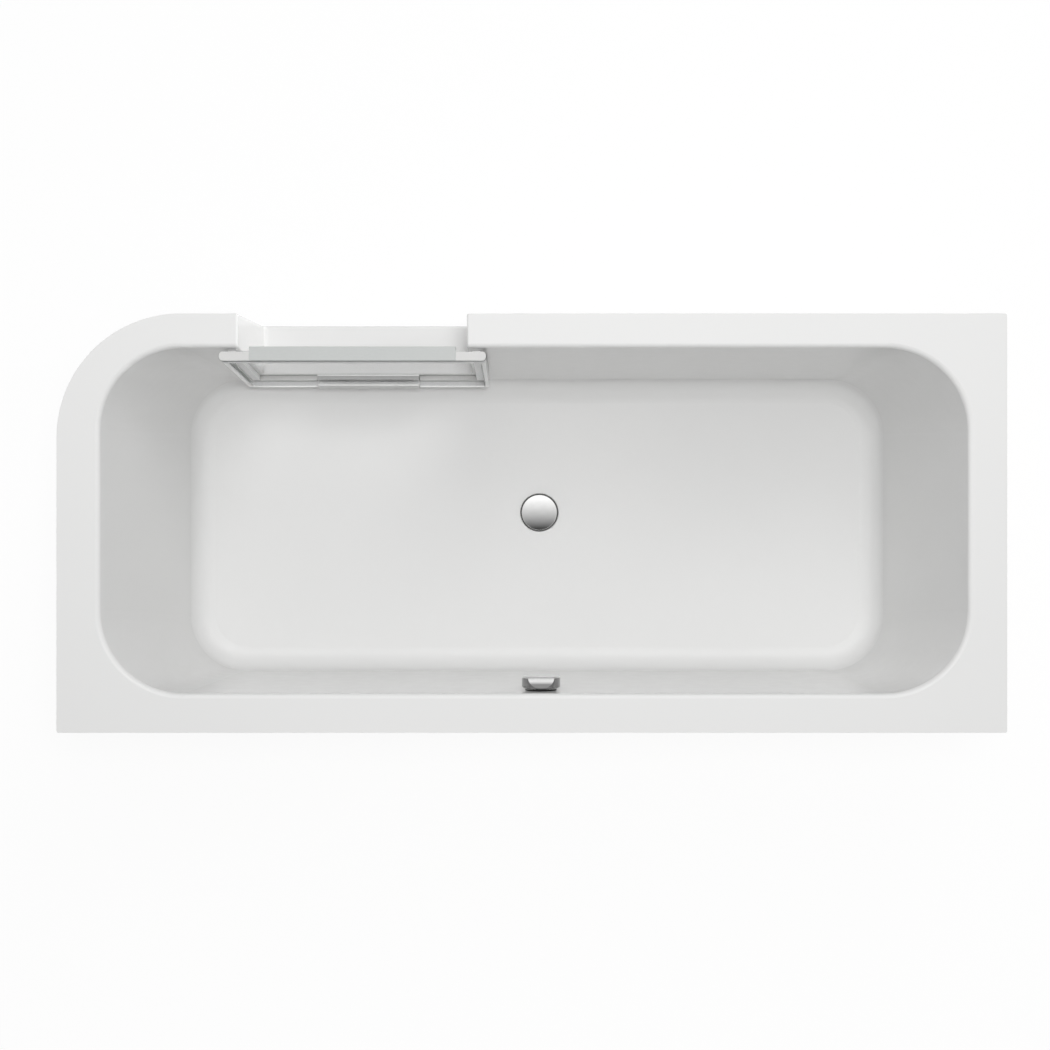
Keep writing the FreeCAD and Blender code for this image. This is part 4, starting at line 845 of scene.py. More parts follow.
class Piece:
    """One mesh object that is shaped with Blender's own operators, as by hand."""

    MERGE: ClassVar[float] = 2e-6
    FLAT: ClassVar[float] = math.radians(0.5)
    SHARP: ClassVar[float] = math.radians(35.0)
    SEGMENTS: ClassVar[int] = 3
    FEW_SEGMENTS: ClassVar[int] = 2
    FLAT_WEIGHT: ClassVar[int] = 100
    LEANING: ClassVar[float] = 0.5
    SQUARE_ON: ClassVar[float] = 0.9

    def __init__(self, obj: bpy.types.Object, name: str) -> None:
        """Takes over an object and names it."""
        self.obj = obj
        obj.name = obj.data.name = name

    @classmethod
    def added(cls, name: str) -> "Piece":
        """Takes over the primitive that was just added, with its place in the mesh."""
        bpy.ops.object.transform_apply(location=True, rotation=True, scale=True)
        return cls(bpy.context.object, name)

    @classmethod
    def from_node(cls, node: str) -> "Piece":
        """A merged copy of a CAD node, with its flat areas as single faces.

        Args:
            node: The node's name.

        Returns:
            The copy.
        """
        copy = bpy.data.objects.new(node, cad(node).data.copy())
        bpy.context.scene.collection.objects.link(copy)
        piece = cls(copy, node + "_shaped")
        piece.focus()
        bpy.ops.mesh.customdata_custom_splitnormals_clear()
        with piece.editing():
            bpy.ops.mesh.select_all(action="SELECT")
            bpy.ops.mesh.remove_doubles(threshold=cls.MERGE)
            bpy.ops.mesh.dissolve_limited(angle_limit=cls.FLAT)
        return piece

    @classmethod
    def block(cls, name: str, low: Sequence[float], high: Sequence[float]) -> "Piece":
        """A box between two corners.

        Args:
            name: The piece's name.
            low: The lower corner.
            high: The upper corner.

        Returns:
            The box.
        """
        bpy.ops.object.select_all(action="DESELECT")
        middle = (Vector(low) + Vector(high)) / 2.0
        bpy.ops.mesh.primitive_cube_add(size=1.0, location=middle, scale=Vector(high) - Vector(low))
        return cls.added(name)

    @classmethod
    def chain(cls, name: str, points: Sequence[Vector]) -> "Piece":
        """A line of edges, drawn by extruding one vertex from point to point.

        Args:
            name: The piece's name.
            points: The line's points.

        Returns:
            The line.
        """
        bpy.ops.object.select_all(action="DESELECT")
        bpy.ops.mesh.primitive_plane_add(size=cls.MERGE, location=points[0])
        piece = cls.added(name)
        with piece.editing("VERT"):
            bpy.ops.mesh.select_all(action="SELECT")
            bpy.ops.mesh.merge(type="CENTER")
            for before, after in zip(points, points[1:]):
                bpy.ops.mesh.extrude_region_move(TRANSFORM_OT_translate={"value": after - before})
        return piece

    @classmethod
    def turned(
        cls, name: str, profile: Sequence[tuple[float, float]], foot: Vector, axis: Vector, steps: int
    ) -> "Piece":
        """A profile turned about an axis.

        Args:
            name: The piece's name.
            profile: Distances from the axis and heights along it.
            foot: The point of the axis at height zero.
            axis: The axis's direction.
            steps: How many faces go round.

        Returns:
            The turned piece.
        """
        across = axis.orthogonal().normalized()
        piece = cls.chain(name, [foot + across * radius + axis * height for radius, height in profile])
        with piece.editing("VERT"):
            bpy.ops.mesh.select_all(action="SELECT")
            bpy.ops.mesh.spin(steps=steps, angle=math.tau, center=foot, axis=axis)
        piece.mend()
        return piece

    def copied(self, place: Matrix) -> "Piece":
        """A copy with a mesh of its own.

        Args:
            place: Where the copy is moved to.

        Returns:
            The copy.
        """
        copy = bpy.data.objects.new(self.obj.name, self.obj.data.copy())
        copy.data.transform(place)
        bpy.context.scene.collection.objects.link(copy)
        return Piece(copy, self.obj.name)

    def focus(self) -> None:
        """Selects this object alone."""
        bpy.ops.object.select_all(action="DESELECT")
        self.obj.select_set(True)
        bpy.context.view_layer.objects.active = self.obj

    @contextmanager
    def editing(self, select: str = "FACE") -> Iterator[None]:
        """Holds the object in edit mode.

        Args:
            select: What the selection is made of.

        Yields:
            Nothing.
        """
        self.focus()
        bpy.ops.object.mode_set(mode="EDIT")
        bpy.ops.mesh.select_mode(type=select)
        yield
        bpy.ops.object.mode_set(mode="OBJECT")

    def pick(self, test: Callable[[Vector, Vector], bool]) -> None:
        """Selects faces, from edit mode.

        Args:
            test: Says of a face's middle and normal whether it is selected.
        """
        bpy.ops.mesh.select_all(action="DESELECT")
        bpy.ops.object.mode_set(mode="OBJECT")
        for face in self.obj.data.polygons:
            face.select = test(face.center, face.normal)
        bpy.ops.object.mode_set(mode="EDIT")

    def mend(self) -> None:
        """Merges doubled points and turns the normals outward."""
        with self.editing("VERT"):
            bpy.ops.mesh.select_all(action="SELECT")
            bpy.ops.mesh.remove_doubles(threshold=self.MERGE)
            bpy.ops.mesh.normals_make_consistent(inside=False)

    def change(self, kind: str, **settings: Any) -> None:
        """Applies a modifier.

        Args:
            kind: The modifier's type.
            settings: Its properties.
        """
        self.focus()
        modifier = self.obj.modifiers.new(kind, kind)
        for key, value in settings.items():
            setattr(modifier, key, value)
        bpy.ops.object.modifier_apply(modifier=modifier.name)

    def soften(self, width: float, segments: int = SEGMENTS) -> None:
        """Rounds the sharp edges and shades the flats flat.

        Args:
            width: How far the rounding reaches.
            segments: How many faces the rounding has.
        """
        self.change(
            "BEVEL", width=width, segments=segments, limit_method="ANGLE", angle_limit=self.SHARP
        )
        self.smooth()
        self.change("WEIGHTED_NORMAL", weight=self.FLAT_WEIGHT, keep_sharp=True)

    def smooth(self) -> None:
        """Shades all but the sharp edges smooth."""
        self.focus()
        bpy.ops.object.shade_smooth_by_angle(angle=self.SHARP)

    def join(self, others: Sequence["Piece"]) -> None:
        """Takes other pieces into this one.

        Args:
            others: The pieces.
        """
        self.focus()
        for other in others:
            other.obj.select_set(True)
        bpy.ops.object.join()

    def settle(self, body: str, slot: Slot, finish: Finish, *nodes: str) -> None:
        """Gives the piece its finish and body, and hides the CAD nodes that it stands for.

        Args:
            body: The body it rides on.
            slot: Not used.
            finish: What it is made of.
            nodes: The nodes that it replaces.
        """
        self.obj.data.materials.clear()
        self.obj.data.materials.append(finish.material())
        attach(self.obj, body)
        if nodes:
            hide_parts(*nodes)
        LOG.info("built %s in %s", self.obj.name, finish.name)


def softened(node: str, width: float, body: Body, slot: Slot, finish: Finish) -> Piece:
    """A copy of a CAD node with rounded edges, in its place.

    Args:
        node: The node.
        width: How far the rounding reaches.
        body: The node's body.
        slot: The node's slot.
        finish: What it is made of.

    Returns:
        The copy.
    """
    piece = Piece.from_node(node)
    piece.soften(width)
    piece.settle(body.value, slot, finish, node)
    return piece


@dataclass
class TubShell:
    """The acrylic moulding, its apron and the battens under its rim."""

    batten_edge: float = 0.002
    cross_batten_end: float = -0.79

    def build(self) -> None:
        """Rounds the battens' edges and turns the grain of the one that lies across."""
        battens = softened("rim_battens", self.batten_edge, Body.TUB, Slot.TIMBER, TIMBER_X)
        battens.obj.data.materials.append(TIMBER_Y.material())
        for face in battens.obj.data.polygons:
            face.material_index = int(face.center.x < self.cross_batten_end)

    def dress(self) -> None:
        """Gives the mouldings and the strips behind the apron their finishes."""
        dress_nodes(ACRYLIC, "tub_shell")
        dress_nodes(PANEL, "apron_panel")
        dress_nodes(STEEL, "apron_hanger_front", "apron_hanger_end", "apron_screws")


@dataclass
class LevellingFeet:
    """Six threaded studs on ribbed pads, each kind built once on the frame's axis and copied."""

    thread_radius: float = 0.006
    pitch: float = 0.00175
    thread_depth: float = 0.0009
    thread_steps: int = 20
    thread_outline: tuple[tuple[float, float], ...] = (
        (0.0, 0.0), (0.0, 0.125), (1.0, 0.44), (1.0, 0.56), (0.0, 0.875), (0.0, 1.0),
    )
    hex_sides: int = 6
    hex_flats: float = 0.017
    hex_height: float = 0.008
    hex_edge: float = 0.0006
    pad_radius: float = 0.026
    pad_height: float = 0.014
    pad_brim: float = 0.006
    boss_radius: float = 0.0125
    rib_count: int = 10
    rib_width: float = 0.0022
    round_steps: int = 56

    def stud(self, low: float, high: float) -> Piece:
        """Builds a stud: a real thread, a chamfered core and a hexagon to turn it by.

        Args:
            low: The height of its foot.
            high: The height of its tip.

        Returns:
            The stud.
        """
        root = self.thread_radius - self.thread_depth
        chamfer = root / 3.0
        last = high - self.pitch - chamfer
        points = [
            Vector((root + rise * self.thread_depth, 0.0, last + share * self.pitch))
            for rise, share in self.thread_outline
        ]
        stud = Piece.chain("foot_stud", points)
        turns = int((last - self.pad_height - self.hex_height) / self.pitch)
        with stud.editing("VERT"):
            bpy.ops.mesh.select_all(action="SELECT")
            bpy.ops.mesh.screw(steps=self.thread_steps, turns=turns, center=(0.0, 0.0, 0.0), axis=UP)
        stud.mend()
        stud.smooth()
        profile = ((0.0, low), (root, low), (root, high - chamfer), (root - chamfer, high), (0.0, high))
        core = Piece.turned("core", profile, Vector(), UP, self.round_steps // 2)
        core.smooth()
        bpy.ops.object.select_all(action="DESELECT")
        bpy.ops.mesh.primitive_cylinder_add(
            vertices=self.hex_sides, radius=self.hex_flats / math.sqrt(3.0), depth=self.hex_height,
            location=(0.0, 0.0, self.pad_height + self.hex_height / 2.0),
        )
        head = Piece.added("head")
        head.soften(self.hex_edge, Piece.FEW_SEGMENTS)
        stud.join([core, head])
        return stud

    def rib(self) -> Piece:
        """Builds one rib of a pad, sloped from the boss down to the brim.

        Returns:
            The rib.
        """
        edge = self.rib_width / 2.0
        tip = self.pad_radius - self.rib_width
        low = (self.boss_radius - edge, -edge, self.pad_brim - edge)
        rib = Piece.block("rib", low, (tip, edge, self.pad_height - edge))
        with rib.editing("EDGE"):
            rib.pick(lambda middle, normal: normal.x > Piece.LEANING)
            bpy.ops.transform.translate(value=(0.0, 0.0, (self.pad_brim - self.pad_height) / 2.0))
        rib.soften(edge / 4.0, Piece.FEW_SEGMENTS)
        return rib

    def pad(self) -> Piece:
        """Builds a pad: a dish with a boss for the stud and ribs between them.

        Returns:
            The pad.
        """
        edge = self.rib_width / 2.0
        seat = self.thread_radius + edge / 8.0
        rim, brim, boss, top = self.pad_radius, self.pad_brim, self.boss_radius, self.pad_height
        profile = (
            (0.0, 0.0), (rim - edge, 0.0), (rim, edge), (rim, brim - edge), (rim - edge, brim),
            (boss + edge, brim + edge), (boss, brim + 2.0 * edge),
            (boss, top - edge / 2.0), (boss - edge / 2.0, top),
            (seat, top), (seat, top - brim), (0.0, top - brim),
        )
        pad = Piece.turned("foot_pad", profile, Vector(), UP, self.round_steps)
        pad.smooth()
        first = self.rib()
        turns = [Matrix.Rotation(math.tau * n / self.rib_count, 4, "Z") for n in range(1, self.rib_count)]
        pad.join([first, *(first.copied(turn) for turn in turns)])
        return pad

    def build(self) -> None:
        """Builds a stud and a pad, and sets a copy of each at every foot."""
        low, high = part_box("foot_stud_" + Foot.LEFT_FRONT.value)
        stud, pad = self.stud(low.z, high.z), self.pad()
        for foot in Foot:
            low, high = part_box("foot_pad_" + foot.value)
            middle = (low + high) / 2.0
            place = Matrix.Translation((middle.x, middle.y, 0.0))
            body = "foot_" + foot.value
            stud.copied(place).settle(body, Slot.STEEL, STEEL, "foot_stud_" + foot.value)
            pad.copied(place).settle(body, Slot.PAD, PAD, "foot_pad_" + foot.value)
        for pattern in (stud, pad):
            bpy.data.objects.remove(pattern.obj)


@dataclass
class UnderFrame:
    """The board, rails, sill portal, stays and their fastenings."""

    rail_edge: float = 0.0016
    nut_edge: float = 0.0007
    soft_nodes: tuple[str, ...] = ("cross_rail_left", "cross_rail_middle", "cross_rail_right", "sill_frame")

    def build(self) -> None:
        """Rounds the edges of rails, portal and nuts."""
        for node in self.soft_nodes:
            softened(node, self.rail_edge, Body.TUB, Slot.STEEL, STEEL)
        softened("foot_nuts", self.nut_edge, Body.TUB, Slot.STEEL, STEEL)

    def dress(self) -> None:
        """Gives board and small steel their finishes."""
        dress_nodes(BOARD, "floor_board")
        dress_nodes(STEEL, "apron_stays", "rail_screws")


@dataclass
class GlassDoor:
    """The pane with its rail, grip, trims and seals, and the shoe that it stands in."""

    pane_play: float = 0.00006
    pane_edge: float = 0.0004
    rail_edge: float = 0.0012
    shoe_edge: float = 0.0012
    trim_edge: float = 0.0004
    seal_edge: float = 0.0026
    trim_lip: float = 0.0015
    trim_inner: float = 0.0186
    rail_half: float = 0.239
    rail_outer: float = 0.007
    rail_wide: float = 0.0165
    rail_cad_wide: float = 0.014
    gasket_proud: float = 0.0009
    gasket_wall: float = 0.0014
    gasket_drop: float = 0.006
    gasket_steps: int = 32
    grip_half: float = 0.185
    grip_outer: float = -0.002
    grip_lip: float = 0.003
    grip_top: float = -0.0004
    grip_wall: float = 0.0016
    grip_height: float = 0.022
    grip_edge: float = 0.0006
    screw_head: float = 0.0045
    screw_rise: float = 0.002
    screw_shank: float = 0.0025
    screw_length: float = 0.0134
    screw_steps: int = 32
    screw_dome: tuple[tuple[float, float], ...] = (
        (1.0, 0.0), (1.0, 0.35), (0.86, 0.72), (0.55, 0.94), (0.0, 1.0),
    )
    screw_places: tuple[float, ...] = (0.24343, 0.28795, 0.33331, 0.37783)
    recess_length: float = 0.0056
    recess_width: float = 0.0012
    recess_depth: float = 0.0013

    @property
    def place(self) -> Matrix:
        """Takes the door's own frame, with y inward from the wall and z up the pane, to the tub's."""
        return Matrix.Translation(DOOR_HANG) @ Matrix.Rotation(DOOR_LEAN, 4, "X")

    def pane(self) -> None:
        """Shapes the pane, drawn in by a hair so that no face of it lies in a face of what holds it."""
        pane = Piece.from_node("door_glass")
        with pane.editing():
            bpy.ops.mesh.select_all(action="SELECT")
            bpy.ops.transform.shrink_fatten(value=-self.pane_play, use_even_offset=True)
        pane.soften(self.pane_edge)
        pane.settle(Body.DOOR.value, Slot.GLASS, GLASS, "door_glass")

    def trims(self) -> None:
        """Shapes the bright trims round the pane, with a wider lip on the inner face."""
        inward = self.place.to_3x3() @ TO_BACK
        back = self.place.inverted()
        for node in ("door_trim_left", "door_trim_right"):
            trim = Piece.from_node(node)
            with trim.editing():
                trim.pick(
                    lambda middle, normal: normal.dot(inward) > Piece.SQUARE_ON
                    and (back @ middle).y > self.trim_inner
                )
                bpy.ops.transform.translate(value=inward * self.trim_lip)
            trim.soften(self.trim_edge)
            trim.settle(Body.DOOR.value, Slot.ALUMINIUM, TRIM_METAL, node)

    def rail(self) -> None:
        """Shapes the rail, drawn out inward to the width that the photograph shows."""
        rail = Piece.from_node("door_top_rail")
        stand = self.place @ Matrix.Translation((0.0, self.rail_outer, 0.0))
        wider = Matrix.Diagonal((1.0, self.rail_wide / self.rail_cad_wide, 1.0, 1.0))
        rail.obj.data.transform(stand @ wider @ stand.inverted())
        rail.soften(self.rail_edge)
        rail.settle(Body.DOOR.value, Slot.ALUMINIUM, RAIL_METAL, "door_top_rail")

    def rail_gasket(self) -> None:
        """Builds the dark gasket strip that runs round the rail, which also serves as painted shadow for
        the gap there: a disc drawn out to the rail's length.
        """
        half = self.rail_wide / 2.0
        bpy.ops.object.select_all(action="DESELECT")
        bpy.ops.mesh.primitive_cylinder_add(
            vertices=self.gasket_steps, radius=half + self.gasket_proud, depth=self.gasket_wall,
            location=(0.0, self.rail_outer + half, -self.gasket_drop),
        )
        strip = Piece.added("rail_gasket")
        with strip.editing():
            for side in (1.0, -1.0):
                strip.pick(lambda middle, normal: abs(normal.z) < Piece.LEANING and middle.x * side > 0.0)
                bpy.ops.transform.translate(value=(side * (self.rail_half - half), 0.0, 0.0))
        strip.soften(self.gasket_wall / 4.0)
        strip.obj.data.transform(self.place)
        strip.settle(Body.DOOR.value, Slot.GASKET, GASKET)

    def grip(self) -> None:
        """Builds the grip: a cover over the rail with a lip to pull on outside."""
        cover = Piece.block(
            "grip_cover",
            (-self.grip_half, self.grip_outer, self.grip_top - self.grip_wall),
            (self.grip_half, self.rail_outer + self.rail_wide, self.grip_top),
        )
        lip_end = self.grip_outer + self.grip_lip
        with cover.editing():
            bpy.ops.mesh.select_all(action="SELECT")
            bpy.ops.mesh.bisect(plane_co=(0.0, lip_end, 0.0), plane_no=TO_BACK)
            cover.pick(lambda middle, normal: normal.z < -Piece.LEANING and middle.y < lip_end)
            drop = Vector((0.0, 0.0, self.grip_wall - self.grip_height))
            bpy.ops.mesh.extrude_region_move(TRANSFORM_OT_translate={"value": drop})
        cover.soften(self.grip_edge)
        cover.obj.data.transform(self.place)
        cover.settle(Body.DOOR.value, Slot.ALUMINIUM, GRIP_METAL, "door_grip_strip")

    def screws(self) -> None:
        """Builds the bracket's four screws, with a cross in each round head."""
        low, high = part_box("bracket_screws")
        axis = Vector((0.0, math.cos(DOOR_LEAN), math.sin(DOOR_LEAN)))
        around = UP.rotation_difference(axis)
        shank, length, rise = self.screw_shank, self.screw_length, self.screw_rise
        dome = [(out * self.screw_head, up * rise) for out, up in self.screw_dome]
        profile = ((0.0, -length), (shank, -length), (shank, 0.0), *dome)
        made = []
        for x in self.screw_places:
            seat = Vector((x, high.y, (low.z + high.z) / 2.0)) - axis * rise
            screw = Piece.turned("bracket_screw", profile, seat, axis, self.screw_steps)
            for turn in (0.0, math.pi / 2.0):
                self.recess(screw, seat + axis * rise, around @ Quaternion(UP, turn))
            screw.smooth()
            made.append(screw)
        made[0].join(made[1:])
        made[0].settle(Body.TUB.value, Slot.STEEL, STEEL, "bracket_screws")

    def recess(self, screw: Piece, top: Vector, turn: Quaternion) -> None:
        """Cuts one slot of the cross into a screw's head.

        Args:
            screw: The screw.
            top: The top of its head.
            turn: How the slot lies.
        """
        half = Vector((self.recess_length, self.recess_width, 2.0 * self.recess_depth)) / 2.0
        cutter = Piece.block("cutter", -half, half)
        cutter.obj.data.transform(Matrix.Translation(top) @ turn.to_matrix().to_4x4())
        screw.change("BOOLEAN", operation="DIFFERENCE", object=cutter.obj, solver="EXACT")
        bpy.data.objects.remove(cutter.obj)

    def build(self) -> None:
        """Builds pane, grip, rail, strips and screws, and rounds the edges of shoe and seals."""
        self.pane()
        self.grip()
        self.rail()
        # The rail's dark gasket strip also paints the shadow gap round the rail.
        self.rail_gasket()
        self.trims()
        self.screws()
        softened("door_shoe", self.shoe_edge, Body.SHOE, Slot.ALUMINIUM, SHOE_METAL)
        for node in ("door_seal_left", "door_seal_right"):
            softened(node, self.seal_edge, Body.DOOR, Slot.SEAL, SEAL)

    def dress(self) -> None:
        """Gives bracket, gasket and pin their finishes."""
        dress_nodes(SEAL, "shoe_gasket")
        dress_nodes(CHROME, "door_bracket")
        dress_nodes(STEEL, "bracket_backplate", "door_pivot_pin")


@dataclass
class UnionNut:
    """The ribs of a plastic nut that is turned by hand."""

    foot: Vector
    axis: Vector
    radius: float
    length: float
    count: int
    width: float = 0.0022
    proud: float = 0.0011
    reach: float = 0.88

    def ribs(self) -> list[Piece]:
        """Builds the ribs round the nut.

        Returns:
            One piece for each rib.
        """
        half = Vector((self.proud, self.width / 2.0, self.length * self.reach / 2.0))
        rib = Piece.block("rib", -half, half)
        rib.soften(self.width / 5.0, Piece.FEW_SEGMENTS)
        rib.obj.data.transform(Matrix.Translation((self.radius, 0.0, self.length / 2.0)))
        stand = Matrix.Translation(self.foot) @ UP.rotation_difference(self.axis).to_matrix().to_4x4()
        turns = [Matrix.Rotation(math.tau * number / self.count, 4, "Z") for number in range(self.count)]
        made = [rib.copied(stand @ turn) for turn in turns]
        bpy.data.objects.remove(rib.obj)
        return made


@dataclass
class WasteSet:
    """Plug, waste, trap, overflow, the pipe and cable between them."""

    nut_edge: float = 0.0008
    pipe_nut_radius: float = 0.0235
    pipe_nut_length: float = 0.020
    pipe_nut_ribs: int = 20
    trap_nut_ribs: int = 34
    cap_radius: float = 0.0355
    cap_wall: float = 0.002
    cap_edge: float = 0.0004
    cap_dome: float = 0.0032
    cap_arc_steps: int = 10
    cap_steps: int = 96
    stem_radius: float = 0.003
    cable_diameter: float = 0.005
    cable_length: float = 0.865
    cable_roundness: int = 4
    cable_steps: int = 12
    cable_order: int = 3
    cable_route: tuple[Point, ...] = (
        (0.01363, 0.34592, 0.536), (0.05243, 0.34592, 0.536), (0.08283, 0.34699, 0.5139),
        (0.09423, 0.34842, 0.46307), (0.09993, 0.35021, 0.37688), (0.09613, 0.352, 0.28848),
        (0.08758, 0.35128, 0.20229), (0.07998, 0.33877, 0.1382), (0.07428, 0.30123, 0.10505),
        (0.07143, 0.23508, 0.09754), (0.07618, 0.14927, 0.09223), (0.08663, 0.06703, 0.094),
        (0.08378, 0.01519, 0.094), (0.06573, -0.01163, 0.094), (0.01663, -0.01163, 0.094),
    )

    def plug(self) -> None:
        """Turns the plug: a shallow dome with a rounded edge on a stem."""
        low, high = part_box("drain_plug")
        middle = (low + high) / 2.0
        foot = Vector((middle.x, middle.y, low.z))
        edge = self.cap_edge
        shoulder = high.z - low.z - self.cap_dome
        under = shoulder - self.cap_wall
        shares = [step / self.cap_arc_steps for step in range(self.cap_arc_steps, -1, -1)]
        flat = self.cap_radius - edge
        dome = [(flat * share, shoulder + self.cap_dome * (1.0 - share * share)) for share in shares]
        profile = (
            (0.0, 0.0), (self.stem_radius, 0.0), (self.stem_radius, under), (flat, under),
            (self.cap_radius, under + edge), (self.cap_radius, shoulder - edge), *dome,
        )
        plug = Piece.turned("plug_cap", profile, foot, UP, self.cap_steps)
        plug.smooth()
        plug.settle(Body.PLUG.value, Slot.CHROME, CHROME, "drain_plug")

    def nuts(self) -> None:
        """Gives the pipe's two nuts and the trap's nut their ribs."""
        low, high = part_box("pipe_nuts")
        reach = self.pipe_nut_radius
        upper = Vector((low.x + reach, high.y - reach, high.z - self.pipe_nut_length))
        lower = Vector((low.x + reach, low.y, low.z + reach))
        pair = Piece.from_node("pipe_nuts")
        pair.soften(self.nut_edge)
        for foot, axis in ((upper, UP), (lower, TO_BACK)):
            pair.join(UnionNut(foot, axis, reach, self.pipe_nut_length, self.pipe_nut_ribs).ribs())
        pair.settle(Body.TUB.value, Slot.FITTING, FITTING, "pipe_nuts")
        low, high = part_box("trap_nut")
        foot = Vector(((low.x + high.x) / 2.0, (low.y + high.y) / 2.0, low.z))
        nut = Piece.from_node("trap_nut")
        nut.soften(self.nut_edge)
        nut.join(UnionNut(foot, UP, (high.x - low.x) / 2.0, high.z - low.z, self.trap_nut_ribs).ribs())
        nut.settle(Body.TUB.value, Slot.FITTING, FITTING, "trap_nut")

    def cable(self) -> None:
        """Lays the cable that the knob pulls."""
        curve = bpy.data.curves.new("cable_run", "CURVE")
        curve.dimensions = "3D"
        curve.bevel_depth = self.cable_diameter / 2.0
        curve.bevel_resolution = self.cable_roundness
        curve.resolution_u = self.cable_steps
        curve.use_fill_caps = True
        spline = curve.splines.new("NURBS")
        spline.points.add(len(self.cable_route) - 1)
        for point, place in zip(spline.points, self.cable_route):
            point.co = (*place, 1.0)
        spline.order_u = self.cable_order
        spline.use_endpoint_u = True
        run = bpy.data.objects.new("cable_run", curve)
        bpy.context.scene.collection.objects.link(run)
        curve.materials.append(CABLE.material())
        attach(run, Body.TUB.value)
        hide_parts("pull_cable")
        LOG.info("laid %s", run.name)

    def build(self) -> None:
        """Builds plug, nuts and cable."""
        self.plug()
        self.nuts()
        self.cable()

    def dress(self) -> None:
        """Gives metal, rubber and plastic their finishes."""
        # The flange is darkened as painted shade in the gap round the plug.
        dress_nodes(PAINTED_SHADE_CHROME, "drain_flange")
        # The ring is made near black as painted shadow behind the knob.
        dress_nodes(PAINTED_SHADOW_CHROME, "overflow_ring")
        dress_nodes(KNOB_CHROME, "overflow_knob")
        dress_nodes(GASKET, "plug_seal", "drain_gasket_upper", "drain_gasket_lower", "overflow_gasket")
        dress_nodes(FITTING, "drain_body", "lift_lever", "trap_cup", "overflow_body", "overflow_pipe")
        dress_nodes(STEEL, "lever_pin", "knob_spindle")


@dataclass
class Lamp:
    """One soft lamp that looks at a point and doesn't show in mirrors."""

    name: str
    place: Point
    target: Point
    size: float
    power: float

    def build(self) -> None:
        """Adds the lamp."""
        light = bpy.data.lights.new(self.name, "AREA")
        light.shape = "DISK"
        light.size = self.size
        light.energy = self.power
        lamp = bpy.data.objects.new(self.name, light)
        bpy.context.scene.collection.objects.link(lamp)
        lamp.location = self.place
        way = Vector(self.target) - Vector(self.place)
        lamp.rotation_euler = way.to_track_quat("-Z", "Y").to_euler()
        lamp.visible_glossy = False


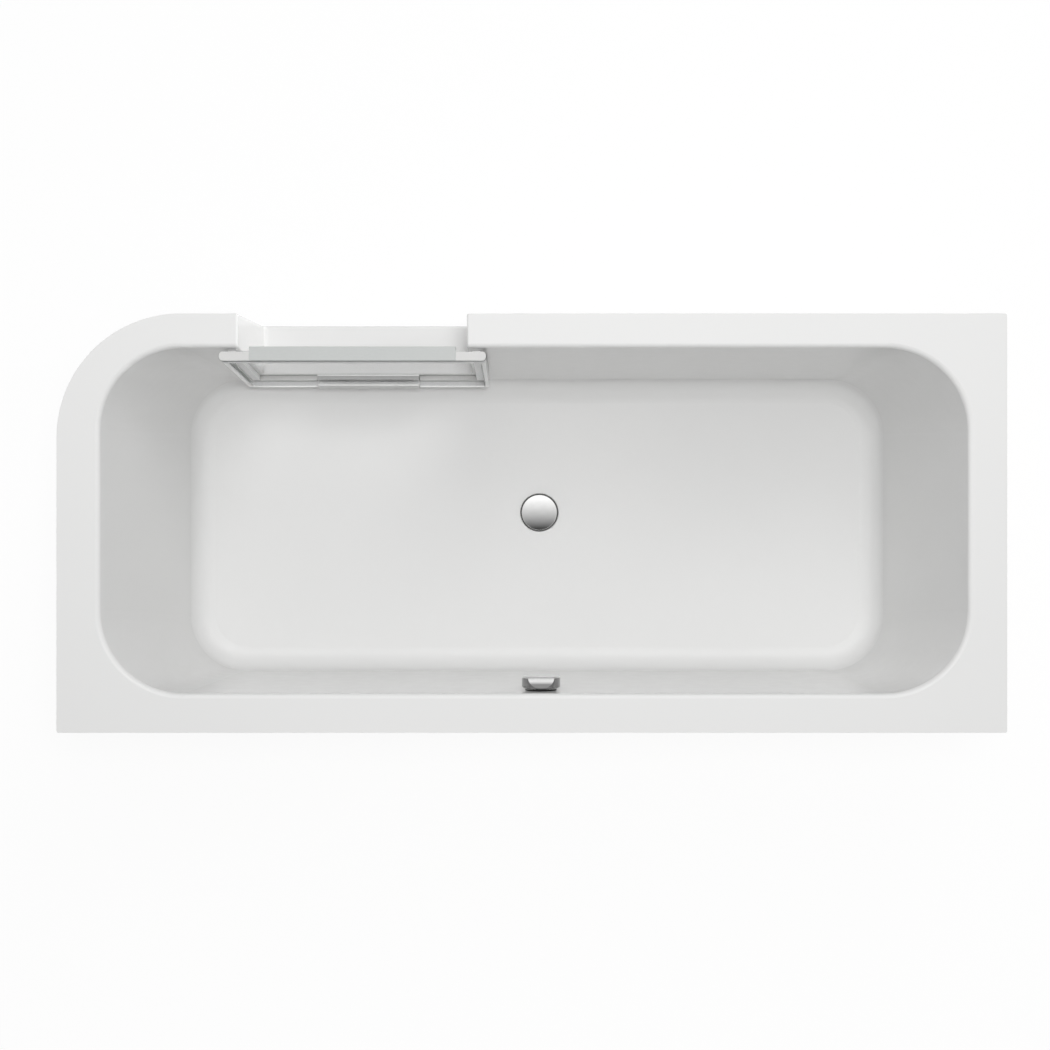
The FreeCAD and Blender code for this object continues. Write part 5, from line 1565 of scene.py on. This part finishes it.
@dataclass
class Studio:
    """Pale floor, plain light and the camera straight above."""

    floor_size: float = 16.0
    floor_glow: float = 0.92
    floor_colour: Colour = (0.95, 0.95, 0.95)
    floor_rough: float = 0.9
    camera_place: Point = (0.0018, 0.0137, 4.0)
    lens: float = 65.2
    sensor: float = 36.0
    world_light: float = 0.362
    ceiling_height: float = 6.5
    ceiling_size: float = 16.0
    ceiling_fade: float = 2.2
    ceiling_bright: float = 1.35
    ceiling_dark: float = 0.07
    ceiling_end: float = 0.25
    lamps: list[Lamp] = field(
        default_factory=lambda: [
            Lamp("top_lamp", (-0.2, -0.2, 4.8), (0.0, 0.0, 0.3), 0.8, 92.0),
            Lamp("high_lamp", (0.0, -1.6, 4.8), (0.0, 0.0, 0.3), 1.6, 14.2),
            Lamp("front_lamp", (-0.7, -3.0, 4.2), (0.0, 0.0, 0.3), 2.0, 42.0),
            Lamp("side_lamp", (-5.0, -1.3, 0.5), (0.5, -0.35, 0.43), 0.3, 125.0),
        ]
    )

    def floor(self) -> None:
        """Lays the floor, which the camera sees as near white with a soft shadow."""
        bpy.ops.object.select_all(action="DESELECT")
        bpy.ops.mesh.primitive_plane_add(size=self.floor_size, location=(0.0, 0.0, 0.0))
        ground = bpy.context.object
        ground.name = "studio_floor"
        shader = Shader("pale_floor")
        shader.set(Base_Color=self.floor_colour, Roughness=self.floor_rough)
        outputs = shader.node("ShaderNodeLightPath").socket.node.outputs
        seen = [Value(shader, outputs[f"Is {kind} Ray"]) for kind in ("Camera", "Glossy", "Transmission")]
        share = (seen[0] + seen[1] + seen[2]).spread(0.0, 1.0, 0.0, self.floor_glow)
        glow = shader.node("ShaderNodeEmission", {}, {"Color": WHITE, "Strength": 1.0})
        plain = Value(shader, shader.principled.outputs[0])
        mixed = shader.node("ShaderNodeMixShader", {}, {0: share, 1: plain, 2: glow})
        shader.feed(shader.tree.nodes["Material Output"].inputs["Surface"], mixed)
        ground.data.materials.append(shader.material)

    def ceiling(self) -> None:
        """Hangs a ceiling that only mirrors see, bright before the front and dark over the back."""
        bpy.ops.object.select_all(action="DESELECT")
        bpy.ops.mesh.primitive_plane_add(size=self.ceiling_size, location=(0.0, 0.0, self.ceiling_height))
        card = bpy.context.object
        card.name = "studio_ceiling"
        shader = Shader("ceiling_card")
        _, y, _ = shader.axes(shader.place)
        level = y.spread(-self.ceiling_fade, self.ceiling_fade, self.ceiling_bright, self.ceiling_dark)
        level = level * y.spread(-self.ceiling_size / 2.0, -self.ceiling_fade, self.ceiling_end, 1.0)
        colour = shader.node("ShaderNodeCombineColor", {}, {0: level, 1: level, 2: level})
        glow = shader.node("ShaderNodeEmission", {}, {"Color": colour, "Strength": 1.0})
        shader.feed(shader.tree.nodes["Material Output"].inputs["Surface"], glow)
        card.data.materials.append(shader.material)
        card.visible_camera = card.visible_diffuse = card.visible_transmission = card.visible_shadow = False

    def world(self) -> None:
        """Lights the room evenly and shows white to the eye."""
        world = bpy.data.worlds.new("studio_room")
        bpy.context.scene.world = world
        world.use_nodes = True
        tree = world.node_tree
        background = tree.nodes["Background"]
        background.inputs["Color"].default_value = (*WHITE, 1.0)
        path = tree.nodes.new("ShaderNodeLightPath")
        seen = tree.nodes.new("ShaderNodeMath")
        seen.operation = "MAXIMUM"
        tree.links.new(path.outputs["Is Camera Ray"], seen.inputs[0])
        tree.links.new(path.outputs["Is Transmission Ray"], seen.inputs[1])
        strength = tree.nodes.new("ShaderNodeMapRange")
        strength.inputs["To Min"].default_value = self.world_light
        strength.inputs["To Max"].default_value = 1.0
        tree.links.new(seen.outputs[0], strength.inputs["Value"])
        tree.links.new(strength.outputs[0], background.inputs["Strength"])

    def camera(self) -> None:
        """Sets the camera where the photograph was taken, with the front at the top of the picture."""
        lens = bpy.data.cameras.new("camera")
        lens.lens = self.lens
        lens.sensor_width = self.sensor
        eye = bpy.data.objects.new("camera", lens)
        bpy.context.scene.collection.objects.link(eye)
        eye.location = self.camera_place
        eye.rotation_euler = (0.0, 0.0, math.pi)
        bpy.context.scene.camera = eye

    def build(self) -> None:
        """Builds floor, ceiling, world, lamps and camera."""
        self.floor()
        self.ceiling()
        self.world()
        for lamp in self.lamps:
            lamp.build()
        self.camera()
        bpy.context.scene.view_settings.view_transform = "Standard"


def main() -> None:
    """Builds and dresses each sub-assembly in order."""
    logging.basicConfig(level=logging.INFO, format="%(message)s")
    bpy.ops.object.select_all(action="DESELECT")
    tub, under, feet, door, waste = TubShell(), UnderFrame(), LevellingFeet(), GlassDoor(), WasteSet()
    for part in (tub, under, feet, door, waste):
        part.build()
        LOG.info("built %s", type(part).__name__)
    for part in (tub, under, door, waste):
        part.dress()
    Studio().build()


if __name__ == "__main__":
    main()
